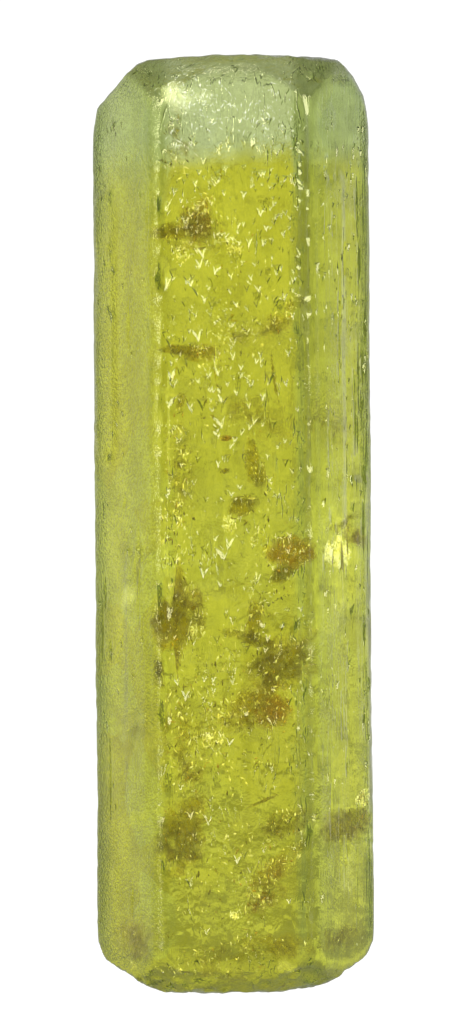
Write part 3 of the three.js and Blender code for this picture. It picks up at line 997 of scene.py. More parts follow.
VEILS = (
    Veil((-1.7, 35.6), (1.5, 1.0), 8, 1.6, olive=0.55, dark=33, rusty=30, bright=50),
    Veil((-1.7, 35.9), (0.8, 1.1), -10, 1.2, olive=0.35, rust=0.45, dark=20, rusty=40, bright=80),
    Veil((-2.9, 35.6), (0.55, 0.4), 0, 0.8, olive=1.3, dark=28, bright=14),
    Veil((-2.3, 34.6), (0.5, 0.4), 0, 0.8, olive=0.2, dark=8, bright=60),
    Veil((0.2, 34.9), (0.42, 0.3), 0, 0.9, olive=0.2, dark=8, bright=50),
    Veil((-1.3, 37.0), (0.6, 0.45), 20, 0.8, rust=0.3, rusty=10, bright=50),
    Veil((-2.6, 30.15), (0.8, 0.22), -4, 0.7, olive=1.7, dark=30, rusty=15),
    Veil((-1.4, 30.0), (0.9, 0.42), 0, 1.2, olive=0.8, rust=0.2, dark=16, rusty=20, bright=30),
    Veil((2.1, 31.4), (0.7, 0.45), 30, 1.2, olive=1.0, dark=32, rusty=10, bright=24),
    Veil((2.8, 32.2), (0.6, 0.3), 45, 0.9, olive=0.6, dark=16, bright=30),
    Veil((0.4, 30.8), (1.1, 0.5), 10, 1.4, olive=0.3, dark=22, bright=60),
    Veil((2.0, 28.8), (0.09, 1.0), 8, 1.2, olive=1.1, dark=12),
    Veil((-2.4, 27.8), (0.2, 0.45), -8, 0.8, olive=0.8, dark=18, bright=4),
    Veil((1.1, 24.7), (0.42, 0.95), 10, 1.2, olive=1.7, dark=32, rusty=6, bright=30),
    Veil((-0.4, 24.5), (0.28, 0.14), 0, 1.0, olive=0.8, dark=12),
    Veil((0.55, 22.9), (0.65, 0.45), 8, 1.2, olive=1.5, dark=28, bright=22),
    Veil((-0.15, 22.0), (0.45, 0.42), 0, 0.9, dark=8, bright=70),
    Veil((2.8, 20.6), (0.85, 0.72), -12, 0.7, olive=0.9, rust=1.1, dark=24, rusty=110, bright=50),
    Veil((2.2, 19.6), (0.6, 0.34), 36, 1.0, olive=1.4, dark=24, rusty=10, bright=8),
    Veil((5.75, 21.3), (0.42, 0.6), 40, 0.7, olive=0.35, rust=0.5, rusty=10, dark=10),
    Veil((5.2, 22.1), (0.8, 0.24), 32, 1.0, olive=0.8, dark=12),
    Veil((-2.8, 17.4), (0.75, 2.3), 0, 0.6, olive=1.9, rust=0.2, dark=60, rusty=10, bright=16),
    Veil((-1.9, 18.0), (0.8, 1.3), 0, 1.2, olive=0.5, rust=0.25, rusty=20, dark=14, bright=30),
    Veil((-1.7, 17.0), (0.4, 0.3), 0, 0.8, dark=8, bright=64),
    Veil((-3.5, 15.1), (0.13, 0.75), 4, 0.5, olive=0.9, dark=24),
    Veil((0.9, 17.4), (0.34, 0.95), -4, 1.2, olive=1.5, dark=24, bright=12),
    Veil((0.8, 16.7), (1.1, 0.3), -18, 1.2, olive=1.2, dark=32, bright=16),
    Veil((2.1, 15.3), (1.6, 1.1), 30, 1.2, olive=1.2, rust=0.15, dark=76, rusty=30, bright=110),
    Veil((1.2, 13.7), (1.5, 0.9), 35, 1.6, olive=0.8, rust=0.3, dark=44, rusty=45, bright=90),
    Veil((1.9, 13.1), (0.9, 0.7), 40, 1.3, olive=0.2, rust=0.7, dark=22, rusty=75, bright=40),
    Veil((-0.6, 13.2), (1.0, 0.6), 20, 1.8, olive=0.25, dark=28, bright=50),
    Veil((-1.0, 11.9), (0.6, 0.36), 10, 0.9, dark=8, bright=80),
    Veil((1.4, 9.1), (0.75, 0.07), 24, 1.0, olive=1.0, dark=12),
    Veil((-2.3, 7.8), (0.85, 1.9), -10, 0.9, olive=1.2, rust=0.1, dark=52, rusty=30, bright=40),
    Veil((-2.95, 7.9), (0.36, 1.3), 0, 0.6, olive=0.8, dark=20, rusty=10),
    Veil((-2.1, 10.3), (0.7, 0.6), 0, 1.4, olive=0.25, rust=0.2, rusty=16, dark=8, bright=14),
    Veil((2.5, 8.0), (1.3, 0.7), 14, 0.9, olive=0.65, dark=48, rusty=20, bright=60),
    Veil((1.9, 5.9), (1.9, 0.5), 42, 1.2, olive=0.7, rust=0.15, dark=40, rusty=40, bright=80),
    Veil((1.3, 4.5), (1.1, 0.5), 38, 1.2, olive=0.35, rust=0.45, dark=22, rusty=45, bright=40),
    Veil((5.3, 8.0), (1.1, 0.75), 10, 0.9, olive=1.5, rust=0.1, dark=28, rusty=25),
    Veil((5.95, 9.1), (0.28, 0.45), -20, 0.7, rust=0.5, rusty=10, bright=80, flake=0.1),
    Veil((0.0, 3.75), (0.34, 0.18), 0, 0.8, bright=50),
    Veil((2.4, 2.3), (1.6, 0.6), 0, 0.9, olive=0.75, dark=20, bright=14),
    Veil((4.8, 2.5), (1.3, 0.6), 4, 0.8, olive=0.7, dark=14, bright=14),
    Veil((-4.7, 2.6), (1.1, 1.0), 0, 0.9, olive=0.85, dark=10, bright=14),
    Veil((-0.8, 1.7), (2.2, 0.8), 0, 1.0, olive=0.4, dark=30, rusty=14, bright=70),
    Veil((-4.85, 1.4), (0.2, 0.25), 0, 0.6, bright=46),
    Veil((-4.9, 18.6), (0.3, 0.55), -25, 0.7, pale=1.0, bright=60, flake=0.06),
    # Pale films near the top of the cap: painted highlights, a bright smear of reflected light.
    Veil((-2.7, 42.2), (1.1, 0.6), -40, 0.8, pale=1.1, bright=80, flake=0.08),
    Veil((-1.5, 41.9), (1.2, 0.4), -8, 0.8, pale=0.4, bright=50, flake=0.08),
    Veil((-3.6, 1.1), (1.1, 0.5), 0, 0.7, bright=90, flake=0.06),
    # Bright flakes just under the cap's surface: painted glints that stand in for the sparkle of its etched
    # surface.
    Veil((-1.3, 41.6), (1.4, 1.3), 0, 0.4, bright=80, flake=0.09),
    Veil((0.6, 41.2), (1.4, 1.6), 0, 0.4, bright=80, flake=0.09),
    Veil((2.3, 40.9), (1.3, 1.8), 0, 0.4, bright=80, flake=0.09),
    Veil((-2.4, 39.6), (0.9, 1.6), 0, 0.4, olive=0.35, dark=26, bright=60, flake=0.1),
    Veil((-2.4, 12.2), (0.9, 2.8), 0, 1.1, olive=0.35, dark=20, bright=20),
    Veil((-2.3, 24.2), (0.85, 2.4), 0, 1.1, olive=0.42, dark=14, bright=20),
    # A pale film along the top rim: painted specks of reflected light.
    Veil((-1.9, 43.0), (1.5, 0.24), 2, 0.6, pale=0.2, bright=50, flake=0.06),
    Veil((2.05, 1.4), (0.8, 0.28), -8, 0.6, pale=0.55),
    Veil((4.9, 18.0), (0.85, 0.95), 0, 0.8, pale=0.35),
    Veil((5.3, 5.6), (0.7, 1.0), 0, 0.8, pale=0.45),
    Veil((-0.28, 25.98), (0.27, 0.13), 0, 0.5, rust=1.0, rusty=16),
    Veil((3.61, 40.52), (0.02, 0.02), 0, 0.35, black=3, flake=0.1),
    Veil((0.47, 25.18), (0.02, 0.02), 0, 0.35, black=3, flake=0.07),
    Veil((-2.13, 19.9), (0.02, 0.02), 0, 0.35, black=3, flake=0.06),
    Veil((1.64, 18.24), (0.04, 0.04), 0, 0.4, black=4, flake=0.11),
    Veil((2.15, 18.5), (0.6, 0.06), 26, 0.4, black=24, flake=0.08),
    # The flash: glowing bright flakes packed into a painted highlight, light reflected inside the crystal.
    Veil((4.48, 20.65), (0.2, 0.55), 4, 0.8, bright=150, flake=0.12),
    Veil((4.9, 20.65), (0.22, 0.85), -3, 0.8, bright=210, flake=0.12),
    Veil((5.3, 20.6), (0.22, 0.6), 2, 0.8, bright=150, flake=0.12),
    Veil((5.08, 20.5), (0.06, 0.6), 3, 0.5, olive=2.0, dark=10),
    Veil((4.66, 20.4), (0.05, 0.4), -6, 0.5, olive=1.6, dark=6),
    Veil((5.36, 20.9), (0.05, 0.4), 5, 0.5, olive=1.6, dark=6),
    Veil((-4.6, 12.4), (1.0, 1.6), 0, 1.6, olive=0.35, dark=16, bright=10),
    Veil((-4.9, 20.8), (0.8, 1.4), 10, 1.6, olive=0.3, dark=11, bright=10),
    Veil((-2.5, 22.6), (0.75, 4.8), 0, 0.9, dark=74, rusty=15, bright=110, flake=0.1),
    Veil((-2.5, 12.6), (0.75, 3.2), 0, 0.9, dark=44, rusty=12, bright=60, flake=0.1),
    Veil((0.4, 13.4), (2.6, 4.2), 0, 1.8, dark=80, rusty=30, bright=150, flake=0.1),
    Veil((1.6, 20.6), (1.4, 3.2), 0, 1.4, dark=66, rusty=15, bright=90, flake=0.1),
    Veil((-0.4, 5.4), (2.6, 3.0), 0, 1.4, dark=110, rusty=20, bright=110, flake=0.09),
    Veil((-0.4, 31.5), (2.6, 5.2), 0, 1.4, dark=90, rusty=30, bright=190, flake=0.08),
    Veil((4.6, 14.0), (1.1, 5.0), 0, 1.0, dark=61, rusty=15, bright=70, flake=0.06),
    Veil((-4.6, 14.0), (1.1, 6.0), 0, 1.0, dark=38, bright=40, flake=0.05),
    Veil((1.2, 26.8), (2.0, 1.1), -24, 7.6, olive=0.25, rust=0.2, dark=50, rusty=30, bright=40),
    Veil((-1.4, 12.0), (1.7, 1.2), 30, 8.0, olive=0.15, rust=0.1, dark=66, rusty=45, bright=50),
)


@dataclass
class Fractures:
    """The films and flakes of every veil: one joined piece for each kind, made of closed shapes."""

    form: CrystalForm
    ior: float
    clearance: float = 0.2
    thinness: float = 0.14
    film_half_thickness: float = 0.012
    film_clearance: float = 0.12
    film_tries: int = 14
    film_rings: int = 12
    film_spokes: int = 36
    film_lobes: int = 5
    film_size: float = 1.35
    film_raggedness: float = 0.22
    film_draw_in: float = 0.85
    film_strength: float = 1.35
    outline_purpose: int = 310
    least_width: float = 0.1
    width_range: float = 0.22
    least_size: float = 0.6
    size_range: float = 1.4
    face_lean: float = 0.55
    length_lean: float = 0.5
    crowding: float = 0.6
    depth_spread: float = 0.1

    def film(self, veil: Veil, number: int) -> Arrays:
        """A film as a flat closed lens: rings from its back's middle, round its rim, to its front's middle.

        Its outline is drawn in wherever it would come too near to the crystal's skin.

        Args:
            veil: the fracture that it lies in.
            number: which veil it is, for its outline.

        Returns:
            Its points, ring by ring, and how far out each lies, from 0 in the middle to 1 at the rim.
        """
        row = np.linspace(-1.0, 1.0, 2 * self.film_rings + 1)[1:-1]
        out = (1.0 - np.abs(row))[:, None]
        turn = 2.0 * np.pi * np.arange(self.film_spokes)[None] / self.film_spokes
        k = np.arange(1, self.film_lobes + 1)[:, None, None]
        shift = 6.0 * scatter(k + number, self.outline_purpose)
        lobes = (np.cos(k * (turn[None] + shift)) / k).sum(axis=0)
        ragged = out * (self.film_size + self.film_raggedness * lobes)
        for _ in range(self.film_tries):
            x, z, deep = veil.place(ragged * np.cos(turn), ragged * np.sin(turn))
            deep = deep - np.sign(row)[:, None] * self.film_half_thickness * (1.0 - out**2)
            points = self.form.behind(veil.seen[0], x.ravel(), z.ravel(), deep.ravel(), self.ior)
            outside = (self.form.depth(points).reshape(ragged.shape) < self.film_clearance).any(axis=0)
            if not outside.any():
                break
            ragged = np.where(outside, self.film_draw_in * ragged, ragged)
        else:
            LOG.warning("the film at %s comes too near to the skin", veil.seen)
        return points, np.repeat(out[:, 0], self.film_spokes)

    def films(self, tone: Tone) -> bpy.types.Object:
        """Builds every film of one tone: how strongly it covers fades to its rim, and its rust doesn't."""
        points, covers, rusts, faces = [], [], [], []
        rows, spokes = 2 * self.film_rings - 1, self.film_spokes
        quads, fans = closed_grid(rows, spokes)
        for which, veil in enumerate(VEILS):
            if not veil.cover(tone):
                continue
            ring_points, out = self.film(veil, which)
            middles = np.stack([ring_points[:spokes].mean(axis=0), ring_points[-spokes:].mean(axis=0)])
            start = len(points) * (rows * spokes + 2)
            points.append(np.concatenate([ring_points, middles]))
            covers.append(self.film_strength * veil.cover(tone) * (1.0 - np.r_[out, 0.0, 0.0]))
            rusts.append(np.full(len(covers[-1]), veil.rusted()))
            faces.append((quads + start, fans + start))
        name = f"{tone.value}_veils"
        mesh = new_mesh(name, np.concatenate(points), [f[0] for f in faces] + [f[1] for f in faces])
        for key, values in (("cover", covers), ("rust", rusts)):
            mesh.attributes.new(key, "FLOAT", "POINT").data.foreach_set("value", np.concatenate(values))
        mesh.shade_smooth()
        return new_object(name, mesh)

    def flakes(self, centres: np.ndarray, sizes: np.ndarray, chance: np.random.Generator) -> Arrays:
        """Flat octahedra: six points, plus and minus each of three axes, and eight triangles between them.

        Args:
            centres: the flakes' middles.
            sizes: their half lengths.
            chance: the seeded source of their turns.

        Returns:
            The vertices and triangles of them all.
        """
        count = len(centres)
        normal = np.array([0.0, -1.0, 0.0]) + self.face_lean * chance.standard_normal((count, 3))
        normal /= np.linalg.norm(normal, axis=1, keepdims=True)
        guide = np.array([0.0, 0.0, 1.0]) + self.length_lean * chance.standard_normal((count, 3))
        side = np.cross(guide, normal)
        side /= np.linalg.norm(side, axis=1, keepdims=True)
        along = np.cross(normal, side)
        width = sizes * (self.least_width + self.width_range * chance.random(count))
        thickness = sizes * self.thinness
        axes = np.stack([side * width[:, None], along * sizes[:, None], normal * thickness[:, None]], axis=1)
        points = np.concatenate([centres[:, None] + axes, centres[:, None] - axes], axis=1)
        eight = np.array([
            [0, 1, 2], [1, 3, 2], [3, 4, 2], [4, 0, 2],
            [1, 0, 5], [3, 1, 5], [4, 3, 5], [0, 4, 5],
        ])
        triangles = eight[None] + 6 * np.arange(count)[:, None, None]
        return points.reshape(-1, 3), triangles.reshape(-1, 3)

    def scattered(self, tone: Tone, seed: int) -> bpy.types.Object:
        """Builds every flake of one tone, leaving out those too close under the skin.

        Args:
            tone: which flakes.
            seed: the seed of their places and turns.

        Returns:
            The joined piece.
        """
        chance = np.random.default_rng(seed)
        centres, sizes = [], []
        for veil in VEILS:
            count = veil.count(tone)
            turn, out = 2.0 * np.pi * chance.random(count), chance.random(count) ** self.crowding
            x, z, deep = veil.place(out * np.cos(turn), out * np.sin(turn))
            deep = deep + self.depth_spread * chance.standard_normal(count)
            centres.append(self.form.behind(veil.seen[0], x, z, deep, self.ior))
            sizes.append(veil.flake * (self.least_size + self.size_range * chance.random(count) ** 2))
        centres, sizes = np.concatenate(centres), np.concatenate(sizes)
        kept = self.form.depth(centres) > self.clearance
        points, triangles = self.flakes(centres[kept], sizes[kept], chance)
        name = f"{tone.value}_flakes"
        return new_object(name, new_mesh(name, points, [triangles]))


class NodeDesk:
    """Adds shader nodes to one tree and joins them, so that a finish reads as a list of steps."""

    def __init__(self, tree: bpy.types.NodeTree) -> None:
        """Keeps the tree and empties it."""
        self.tree = tree
        tree.nodes.clear()

    def add(self, kind: str, inputs: dict | None = None, **settings: object) -> bpy.types.Node:
        """Adds a node.

        Args:
            kind: Blender's name of the node type.
            inputs: values or sockets for its inputs, by name or number.
            settings: the node's own properties.

        Returns:
            The node.
        """
        node = self.tree.nodes.new(kind)
        for key, value in settings.items():
            setattr(node, key, value)
        for key, value in (inputs or {}).items():
            if isinstance(value, bpy.types.NodeSocket):
                self.tree.links.new(value, node.inputs[key])
            else:
                node.inputs[key].default_value = value
        return node

    def math(self, operation: str, first: object, second: object = 0.0, third: object = 0.0) -> object:
        """A sum, product or other operation on numbers."""
        return self.add("ShaderNodeMath", {0: first, 1: second, 2: third}, operation=operation).outputs[0]

    def rise(
        self, value: object, low: object, high: object, to_low: float = 0.0, to_high: float = 1.0
    ) -> object:
        """A smooth rise from one number to another while a value goes from low to high."""
        ends = {"Value": value, "From Min": low, "From Max": high, "To Min": to_low, "To Max": to_high}
        return self.add("ShaderNodeMapRange", ends, interpolation_type="SMOOTHSTEP").outputs["Result"]

    def blend(self, share: object, low: object, high: object, way: str = "MIX") -> object:
        """A colour between two others."""
        node = self.add("ShaderNodeMix", data_type="RGBA", blend_type=way)
        for socket, value in ((node.inputs[0], share), (node.inputs[6], low), (node.inputs[7], high)):
            if isinstance(value, bpy.types.NodeSocket):
                self.tree.links.new(value, socket)
            else:
                socket.default_value = value
        return node.outputs[2]

    def noise(self, place: object, scale: float, detail: float = 2.0, rough: float = 0.5) -> object:
        """Noise from 0 to 1 over a place, with so many cells a millimetre."""
        sockets = {"Vector": place, "Scale": scale, "Detail": detail, "Roughness": rough}
        return self.add("ShaderNodeTexNoise", sockets).outputs["Fac"]

    def stretch(self, place: object, x: float, y: float, z: float) -> object:
        """A place with its three numbers multiplied."""
        return self.add("ShaderNodeVectorMath", {0: place, 1: (x, y, z)}, operation="MULTIPLY").outputs[0]

    def millimetres(self) -> object:
        """The object's own coordinates, in millimetres."""
        place = self.add("ShaderNodeTexCoord").outputs["Object"]
        return self.stretch(place, 1.0 / MM, 1.0 / MM, 1.0 / MM)


def new_material(name: str) -> tuple[bpy.types.Material, NodeDesk]:
    """A material with an empty node tree, and the desk that fills it."""
    material = bpy.data.materials.new(name)
    material.use_nodes = True
    return material, NodeDesk(material.node_tree)


def colour(red: float, green: float, blue: float) -> Colour:
    """A full colour from its three linear parts."""
    return red, green, blue, 1.0


@dataclass(frozen=True)
class BerylFinish:
    """Clear yellow-green beryl: what it absorbs, its zones of colour, the painted shade on its flanks, strips
    and outer edges, and its etched surface.
    """

    name: str = "heliodor_beryl"
    ior: float = 1.57
    absorption: Colour = colour(0.76, 0.865, 0.14)
    density: float = 100.0
    cap_tint: Colour = colour(0.96, 1.0, 0.95)
    cap_left_tint: Colour = colour(0.64, 0.73, 0.34)
    cap_right_tint: Colour = colour(0.46, 0.57, 0.33)
    body_tint: Colour = colour(1.0, 0.905, 0.105)
    left_tint: Colour = colour(0.98, 0.89, 0.07)
    # The right flank is darker and greener: painted shade with a greener tone.
    right_flank_shade_tint: Colour = colour(0.74, 0.78, 0.28)
    shard_tint: Colour = colour(1.0, 1.0, 0.24)
    stain_tint: Colour = colour(0.62, 0.5, 0.04)
    # Darkens random mottles, shards and grain, paints shade on the strips and upper flanks, and darkens the
    # foot.
    tone_and_painted_shade_tint: Colour = colour(0.5, 0.52, 0.3)
    # Painted shade near the outer edges, for the dark rim that refraction makes at the outline.
    silhouette_painted_shade_tint: Colour = colour(0.55, 0.68, 0.4)
    boundary: float = 39.2
    flank_starts: tuple[float, float] = (2.7, 3.3)
    least_roughness: float = 0.05
    sandy_roughness: float = 0.1
    bump_distance: float = 0.00003

    def build(self) -> bpy.types.Material:
        """Builds the material.

        Returns:
            The material, a plain glass with a plain absorbing inside.
        """
        material, desk = new_material(self.name)
        place = desk.millimetres()
        split = desk.add("ShaderNodeSeparateXYZ", {0: place})
        x, z = split.outputs["X"], split.outputs["Z"]
        sandy = self.sandy(desk, place, x, z)
        glass = desk.add("ShaderNodeBsdfPrincipled", {
            "Transmission Weight": 1.0, "IOR": self.ior, "Metallic": 0.0,
            "Base Color": self.zones(desk, place, x, z, sandy),
            "Roughness": self.frost(desk, sandy),
            "Normal": self.grain(desk, place, x, z, sandy),
        })
        inside = desk.add("ShaderNodeVolumeAbsorption", {"Color": self.absorption, "Density": self.density})
        ends = {"Surface": glass.outputs[0], "Volume": inside.outputs[0]}
        output = desk.add("ShaderNodeOutputMaterial", ends)
        output.is_active_output = True
        return material

    def zones(self, desk: NodeDesk, place: object, x: object, z: object, sandy: object) -> object:
        """The tint: a pale cap, a rich body, flank tints with painted shade on the right flank, soft brown
        stains, shards and mottles, painted shade on the strips and upper flanks, a darkening towards the
        foot, and painted shade near the outer edges.
        """
        aside = desk.math("ABSOLUTE", x)
        flank = desk.rise(aside, *self.flank_starts)
        cap = self.cap(desk, place, x, z, flank)
        right = desk.rise(x, -2.0, 2.0)
        # The right flank's tint is darker than the left's: painted shade with a greener tone.
        side = desk.blend(right, self.left_tint, self.right_flank_shade_tint)
        body = desk.blend(desk.math("MULTIPLY", flank, 0.8), self.body_tint, side)
        cloud = desk.noise(desk.stretch(place, 0.35, 0.35, 0.22), 1.0, 4.0, 0.6)
        body = desk.blend(desk.rise(cloud, 0.52, 0.78, 0.0, 0.38), body, self.stain_tint)
        cap_side = desk.blend(right, self.cap_left_tint, self.cap_right_tint)
        tint = desk.blend(cap, body, desk.blend(flank, self.cap_tint, cap_side))
        shard = self.shards(desk, place)
        where = desk.rise(aside, *self.flank_starts, 0.3, 1.0)
        where = desk.math("MULTIPLY", where, desk.rise(z, 30.0, 20.0, 0.3, 1.0))
        paler = desk.math("MULTIPLY", desk.rise(shard, 0.45, 0.6, 0.0, 0.75), where)
        tint = desk.blend(paler, tint, self.shard_tint)
        darker = desk.math("MULTIPLY", desk.rise(shard, 0.4, 0.2, 0.0, 0.22), where)
        # Darker shards and mottles are tone; the strips and upper flanks get painted shade, and the foot is
        # darker towards the bottom.
        for share in (darker, *self.mottle_and_painted_shades(desk, place, z, aside, flank, right)):
            tint = desk.blend(share, tint, self.tone_and_painted_shade_tint, "MULTIPLY")
        # Painted shade: a darker, greener band near the crystal's outer edges as seen from the front,
        # standing in for the dark rim that refraction makes at the outline.
        tint = desk.blend(desk.rise(aside, 5.3, 6.5, 0.0, 0.6), tint, self.silhouette_painted_shade_tint, "MULTIPLY")
        grain = desk.rise(desk.noise(place, 8.0, 2.0, 0.6), 0.36, 0.6, 0.5, 0.0)
        grain = desk.math("MULTIPLY", grain, desk.math("MULTIPLY_ADD", sandy, 0.75, 0.25))
        return desk.blend(grain, tint, self.tone_and_painted_shade_tint, "MULTIPLY")

    def cap(self, desk: NodeDesk, place: object, x: object, z: object, flank: object) -> object:
        """Where the pale cap is: above a boundary that slants and wavers, lower and softer on the flanks."""
        waver = desk.math("MULTIPLY_ADD", desk.noise(place, 0.7, 3.0), 1.2, -0.6)
        level = desk.math("MULTIPLY_ADD", x, 0.11, desk.math("ADD", waver, self.boundary))
        level = desk.math("MULTIPLY_ADD", flank, -1.5, level)
        width = desk.math("MULTIPLY_ADD", flank, 2.6, 0.65)
        return desk.rise(z, desk.math("SUBTRACT", level, width), desk.math("ADD", level, width))

    def mottle_and_painted_shades(
        self, desk: NodeDesk, place: object, z: object, aside: object, flank: object, right: object
    ) -> tuple[object, ...]:
        """How strongly four things darken the tint: random mottles, painted shade in broken patches along the
        blunted strips, a darkening towards the foot, and painted shade on the upper flanks, most on the
        right.
        """
        mottle = desk.noise(desk.stretch(place, 1.0, 1.0, 0.7), 0.9, 5.0, 0.62)
        # Painted shade: the blunted strips darken in broken patches, and the upper flanks darken upwards, the
        # right one most.
        strip = desk.math("MULTIPLY", desk.rise(aside, 3.2, 3.45), desk.rise(aside, 4.1, 3.9))
        broken = desk.rise(desk.noise(desk.stretch(place, 1.0, 1.0, 0.6), 1.4, 3.0), 0.4, 0.62, 0.0, 0.38)
        upper = desk.math("MULTIPLY", flank, desk.rise(z, 18.0, 36.0, 0.0, 0.5))
        return (
            desk.rise(mottle, 0.34, 0.6, 0.32, 0.0),
            desk.math("MULTIPLY", strip, broken),
            desk.rise(z, 3.2, 0.8, 0.0, 0.5),
            desk.math("MULTIPLY", upper, desk.math("MULTIPLY_ADD", right, 0.55, 0.85)),
        )

    def shards(self, desk: NodeDesk, place: object) -> object:
        """Angular patches, each with a number of its own from 0 to 1, with slightly wavering borders."""
        sway = desk.add("ShaderNodeTexNoise", {"Vector": place, "Scale": 1.2, "Detail": 4.0}).outputs["Color"]
        sway = desk.stretch(sway, 1.1, 1.1, 1.1)
        moved = desk.add("ShaderNodeVectorMath", {0: place, 1: sway}, operation="ADD").outputs[0]
        cell = desk.add("ShaderNodeTexVoronoi", {"Vector": moved, "Scale": 0.3})
        return desk.add("ShaderNodeSeparateColor", {0: cell.outputs["Color"]}).outputs[0]

    def sandy(self, desk: NodeDesk, place: object, x: object, z: object) -> object:
        """Where the surface is sandy: the left flank, both ends, and loose patches elsewhere."""
        patch = desk.rise(desk.noise(place, 0.5, 4.0), 0.5, 0.68, 0.0, 0.45)
        ends = desk.math("MAXIMUM", desk.rise(z, 42.4, 43.4), desk.rise(z, 1.5, 0.7))
        return desk.math("MAXIMUM", desk.math("MAXIMUM", desk.rise(x, -3.1, -3.7), ends), patch)

    def frost(self, desk: NodeDesk, sandy: object) -> object:
        """The roughness: a little everywhere, and more where it is sandy."""
        return desk.math("MULTIPLY_ADD", sandy, self.sandy_roughness, self.least_roughness)

    def grain(self, desk: NodeDesk, place: object, x: object, z: object, sandy: object) -> object:
        """The fine relief: sandy grain, ribs that are strongest on the right flank, and winding scratches."""
        sand = desk.noise(place, 8.0, 2.0, 0.6)
        ribs = desk.noise(desk.stretch(place, 1.0, 1.0, 0.1), 5.0, 2.0)
        ribbed = desk.rise(x, 2.9, 3.6, 0.3, 0.6)
        sand = desk.math("MULTIPLY", sand, desk.math("MULTIPLY_ADD", sandy, 1.5, 0.1))
        height = desk.math("ADD", sand, desk.math("MULTIPLY", ribs, ribbed))
        wander = desk.noise(desk.stretch(place, 1.0, 1.0, 0.38), 1.5, 2.0, 0.6)
        crease = desk.math("ABSOLUTE", desk.math("MULTIPLY_ADD", wander, 2.0, -1.0))
        where = desk.rise(desk.noise(place, 0.55, 3.0, 0.6), 0.49, 0.61)
        where = desk.math("MULTIPLY", where, desk.rise(z, 22.0, 28.0, 1.0, 0.25))
        where = desk.math("MAXIMUM", where, desk.rise(z, 39.6, 41.0, 0.0, 0.6))
        where = desk.math("MULTIPLY", where, desk.rise(desk.math("ABSOLUTE", x), 3.0, 3.8, 0.8, 0.1))
        height = desk.math("MULTIPLY_ADD", desk.rise(crease, 0.0, 0.09), where, height)
        relief = {"Height": height, "Strength": 1.0, "Distance": self.bump_distance}
        return desk.add("ShaderNodeBump", relief).outputs[0]


@dataclass(frozen=True)
class FlakeFinish:
    """What a fracture's flakes are made of: two colours that wander, and how they reflect and glow; the
    bright flakes' glow is painted light, for glints.
    """

    name: str
    light: Colour
    deep: Colour
    roughness: float
    metallic: float = 0.0
    glow: float = 0.0
    cap_ends: tuple[float, float] = (40.2, 38.8)

    def build(self) -> bpy.types.Material:
        """Builds the material, its colour wandering between two over the flakes below the pale cap.

        Returns:
            The material.
        """
        material, desk = new_material(self.name)
        place = desk.millimetres()
        mixed = desk.rise(desk.noise(place, 2.5, 3.0), 0.35, 0.65)
        height = desk.add("ShaderNodeSeparateXYZ", {0: place}).outputs["Z"]
        mixed = desk.math("MULTIPLY", mixed, desk.rise(height, *self.cap_ends))
        tint = desk.blend(mixed, self.light, self.deep)
        grain = desk.add("ShaderNodeBsdfPrincipled", {
            "Base Color": tint, "Roughness": self.roughness, "Metallic": self.metallic,
            "Emission Color": tint, "Emission Strength": self.glow,
        })
        desk.add("ShaderNodeOutputMaterial", {"Surface": grain.outputs[0]})
        return material


FLAKE_FINISHES = {
    Tone.DARK: FlakeFinish("dark_grain", colour(0.28, 0.26, 0.02), colour(0.12, 0.11, 0.01), 0.6),
    Tone.RUSTY: FlakeFinish("rusty_grain", colour(0.6, 0.4, 0.02), colour(0.36, 0.24, 0.02), 0.6),
    # Bright flakes: metal-like and glowing, painted glints that stand in for light reflected in the
    # fractures.
    Tone.BRIGHT: FlakeFinish(
        "painted_glint_grain", colour(0.95, 0.98, 0.9), colour(1.0, 0.95, 0.4), 0.25, metallic=0.6, glow=0.55
    ),
    Tone.BLACK: FlakeFinish("black_grain", colour(0.02, 0.02, 0.02), colour(0.01, 0.01, 0.015), 0.5),
}


@dataclass(frozen=True)
class VeilFinish:
    """A film in a healed fracture: a thin stain, cloudy and finely streaked, that covers only in part; near
    the cap's top the pale film is a painted highlight instead.
    """

    name: str
    light: Colour
    deep: Colour
    rust: Colour
    most: float
    roughness: float = 0.6

    def build(self) -> bpy.types.Material:
        """Builds the material: each film's own cover fades it out to its rim, and its own rust browns it.

        Returns:
            The material.
        """
        material, desk = new_material(self.name)
        place = desk.millimetres()
        cover = desk.add("ShaderNodeAttribute", attribute_name="cover").outputs["Fac"]
        ragged = desk.math("MULTIPLY_ADD", desk.noise(place, 1.5, 6.0, 0.7), 3.0, -1.5)
        cloud = desk.rise(desk.math("ADD", cover, ragged), 0.0, 1.25, 0.0, self.most)
        fibres = desk.noise(desk.stretch(place, 1.0, 1.0, 0.4), 5.0, 3.0, 0.6)
        shown = desk.math("MULTIPLY", cloud, desk.rise(fibres, 0.36, 0.6, 1.0, 0.6))
        shown = desk.math("MULTIPLY", shown, desk.rise(cover, 0.0, 0.4))
        mixed = desk.rise(desk.noise(place, 2.4, 3.0), 0.35, 0.65)
        rust = desk.add("ShaderNodeAttribute", attribute_name="rust").outputs["Fac"]
        spread = desk.rise(desk.noise(place, 1.9, 4.0, 0.6), 0.38, 0.58, 0.5, 1.5)
        tint = desk.blend(mixed, self.light, self.deep)
        tint = desk.blend(desk.math("MULTIPLY", rust, spread), tint, self.rust)
        film = desk.add("ShaderNodeBsdfPrincipled", {
            "Base Color": tint, "Roughness": self.roughness, "Specular IOR Level": 0.0, "Alpha": shown,
        })
        desk.add("ShaderNodeOutputMaterial", {"Surface": film.outputs[0]})
        return material


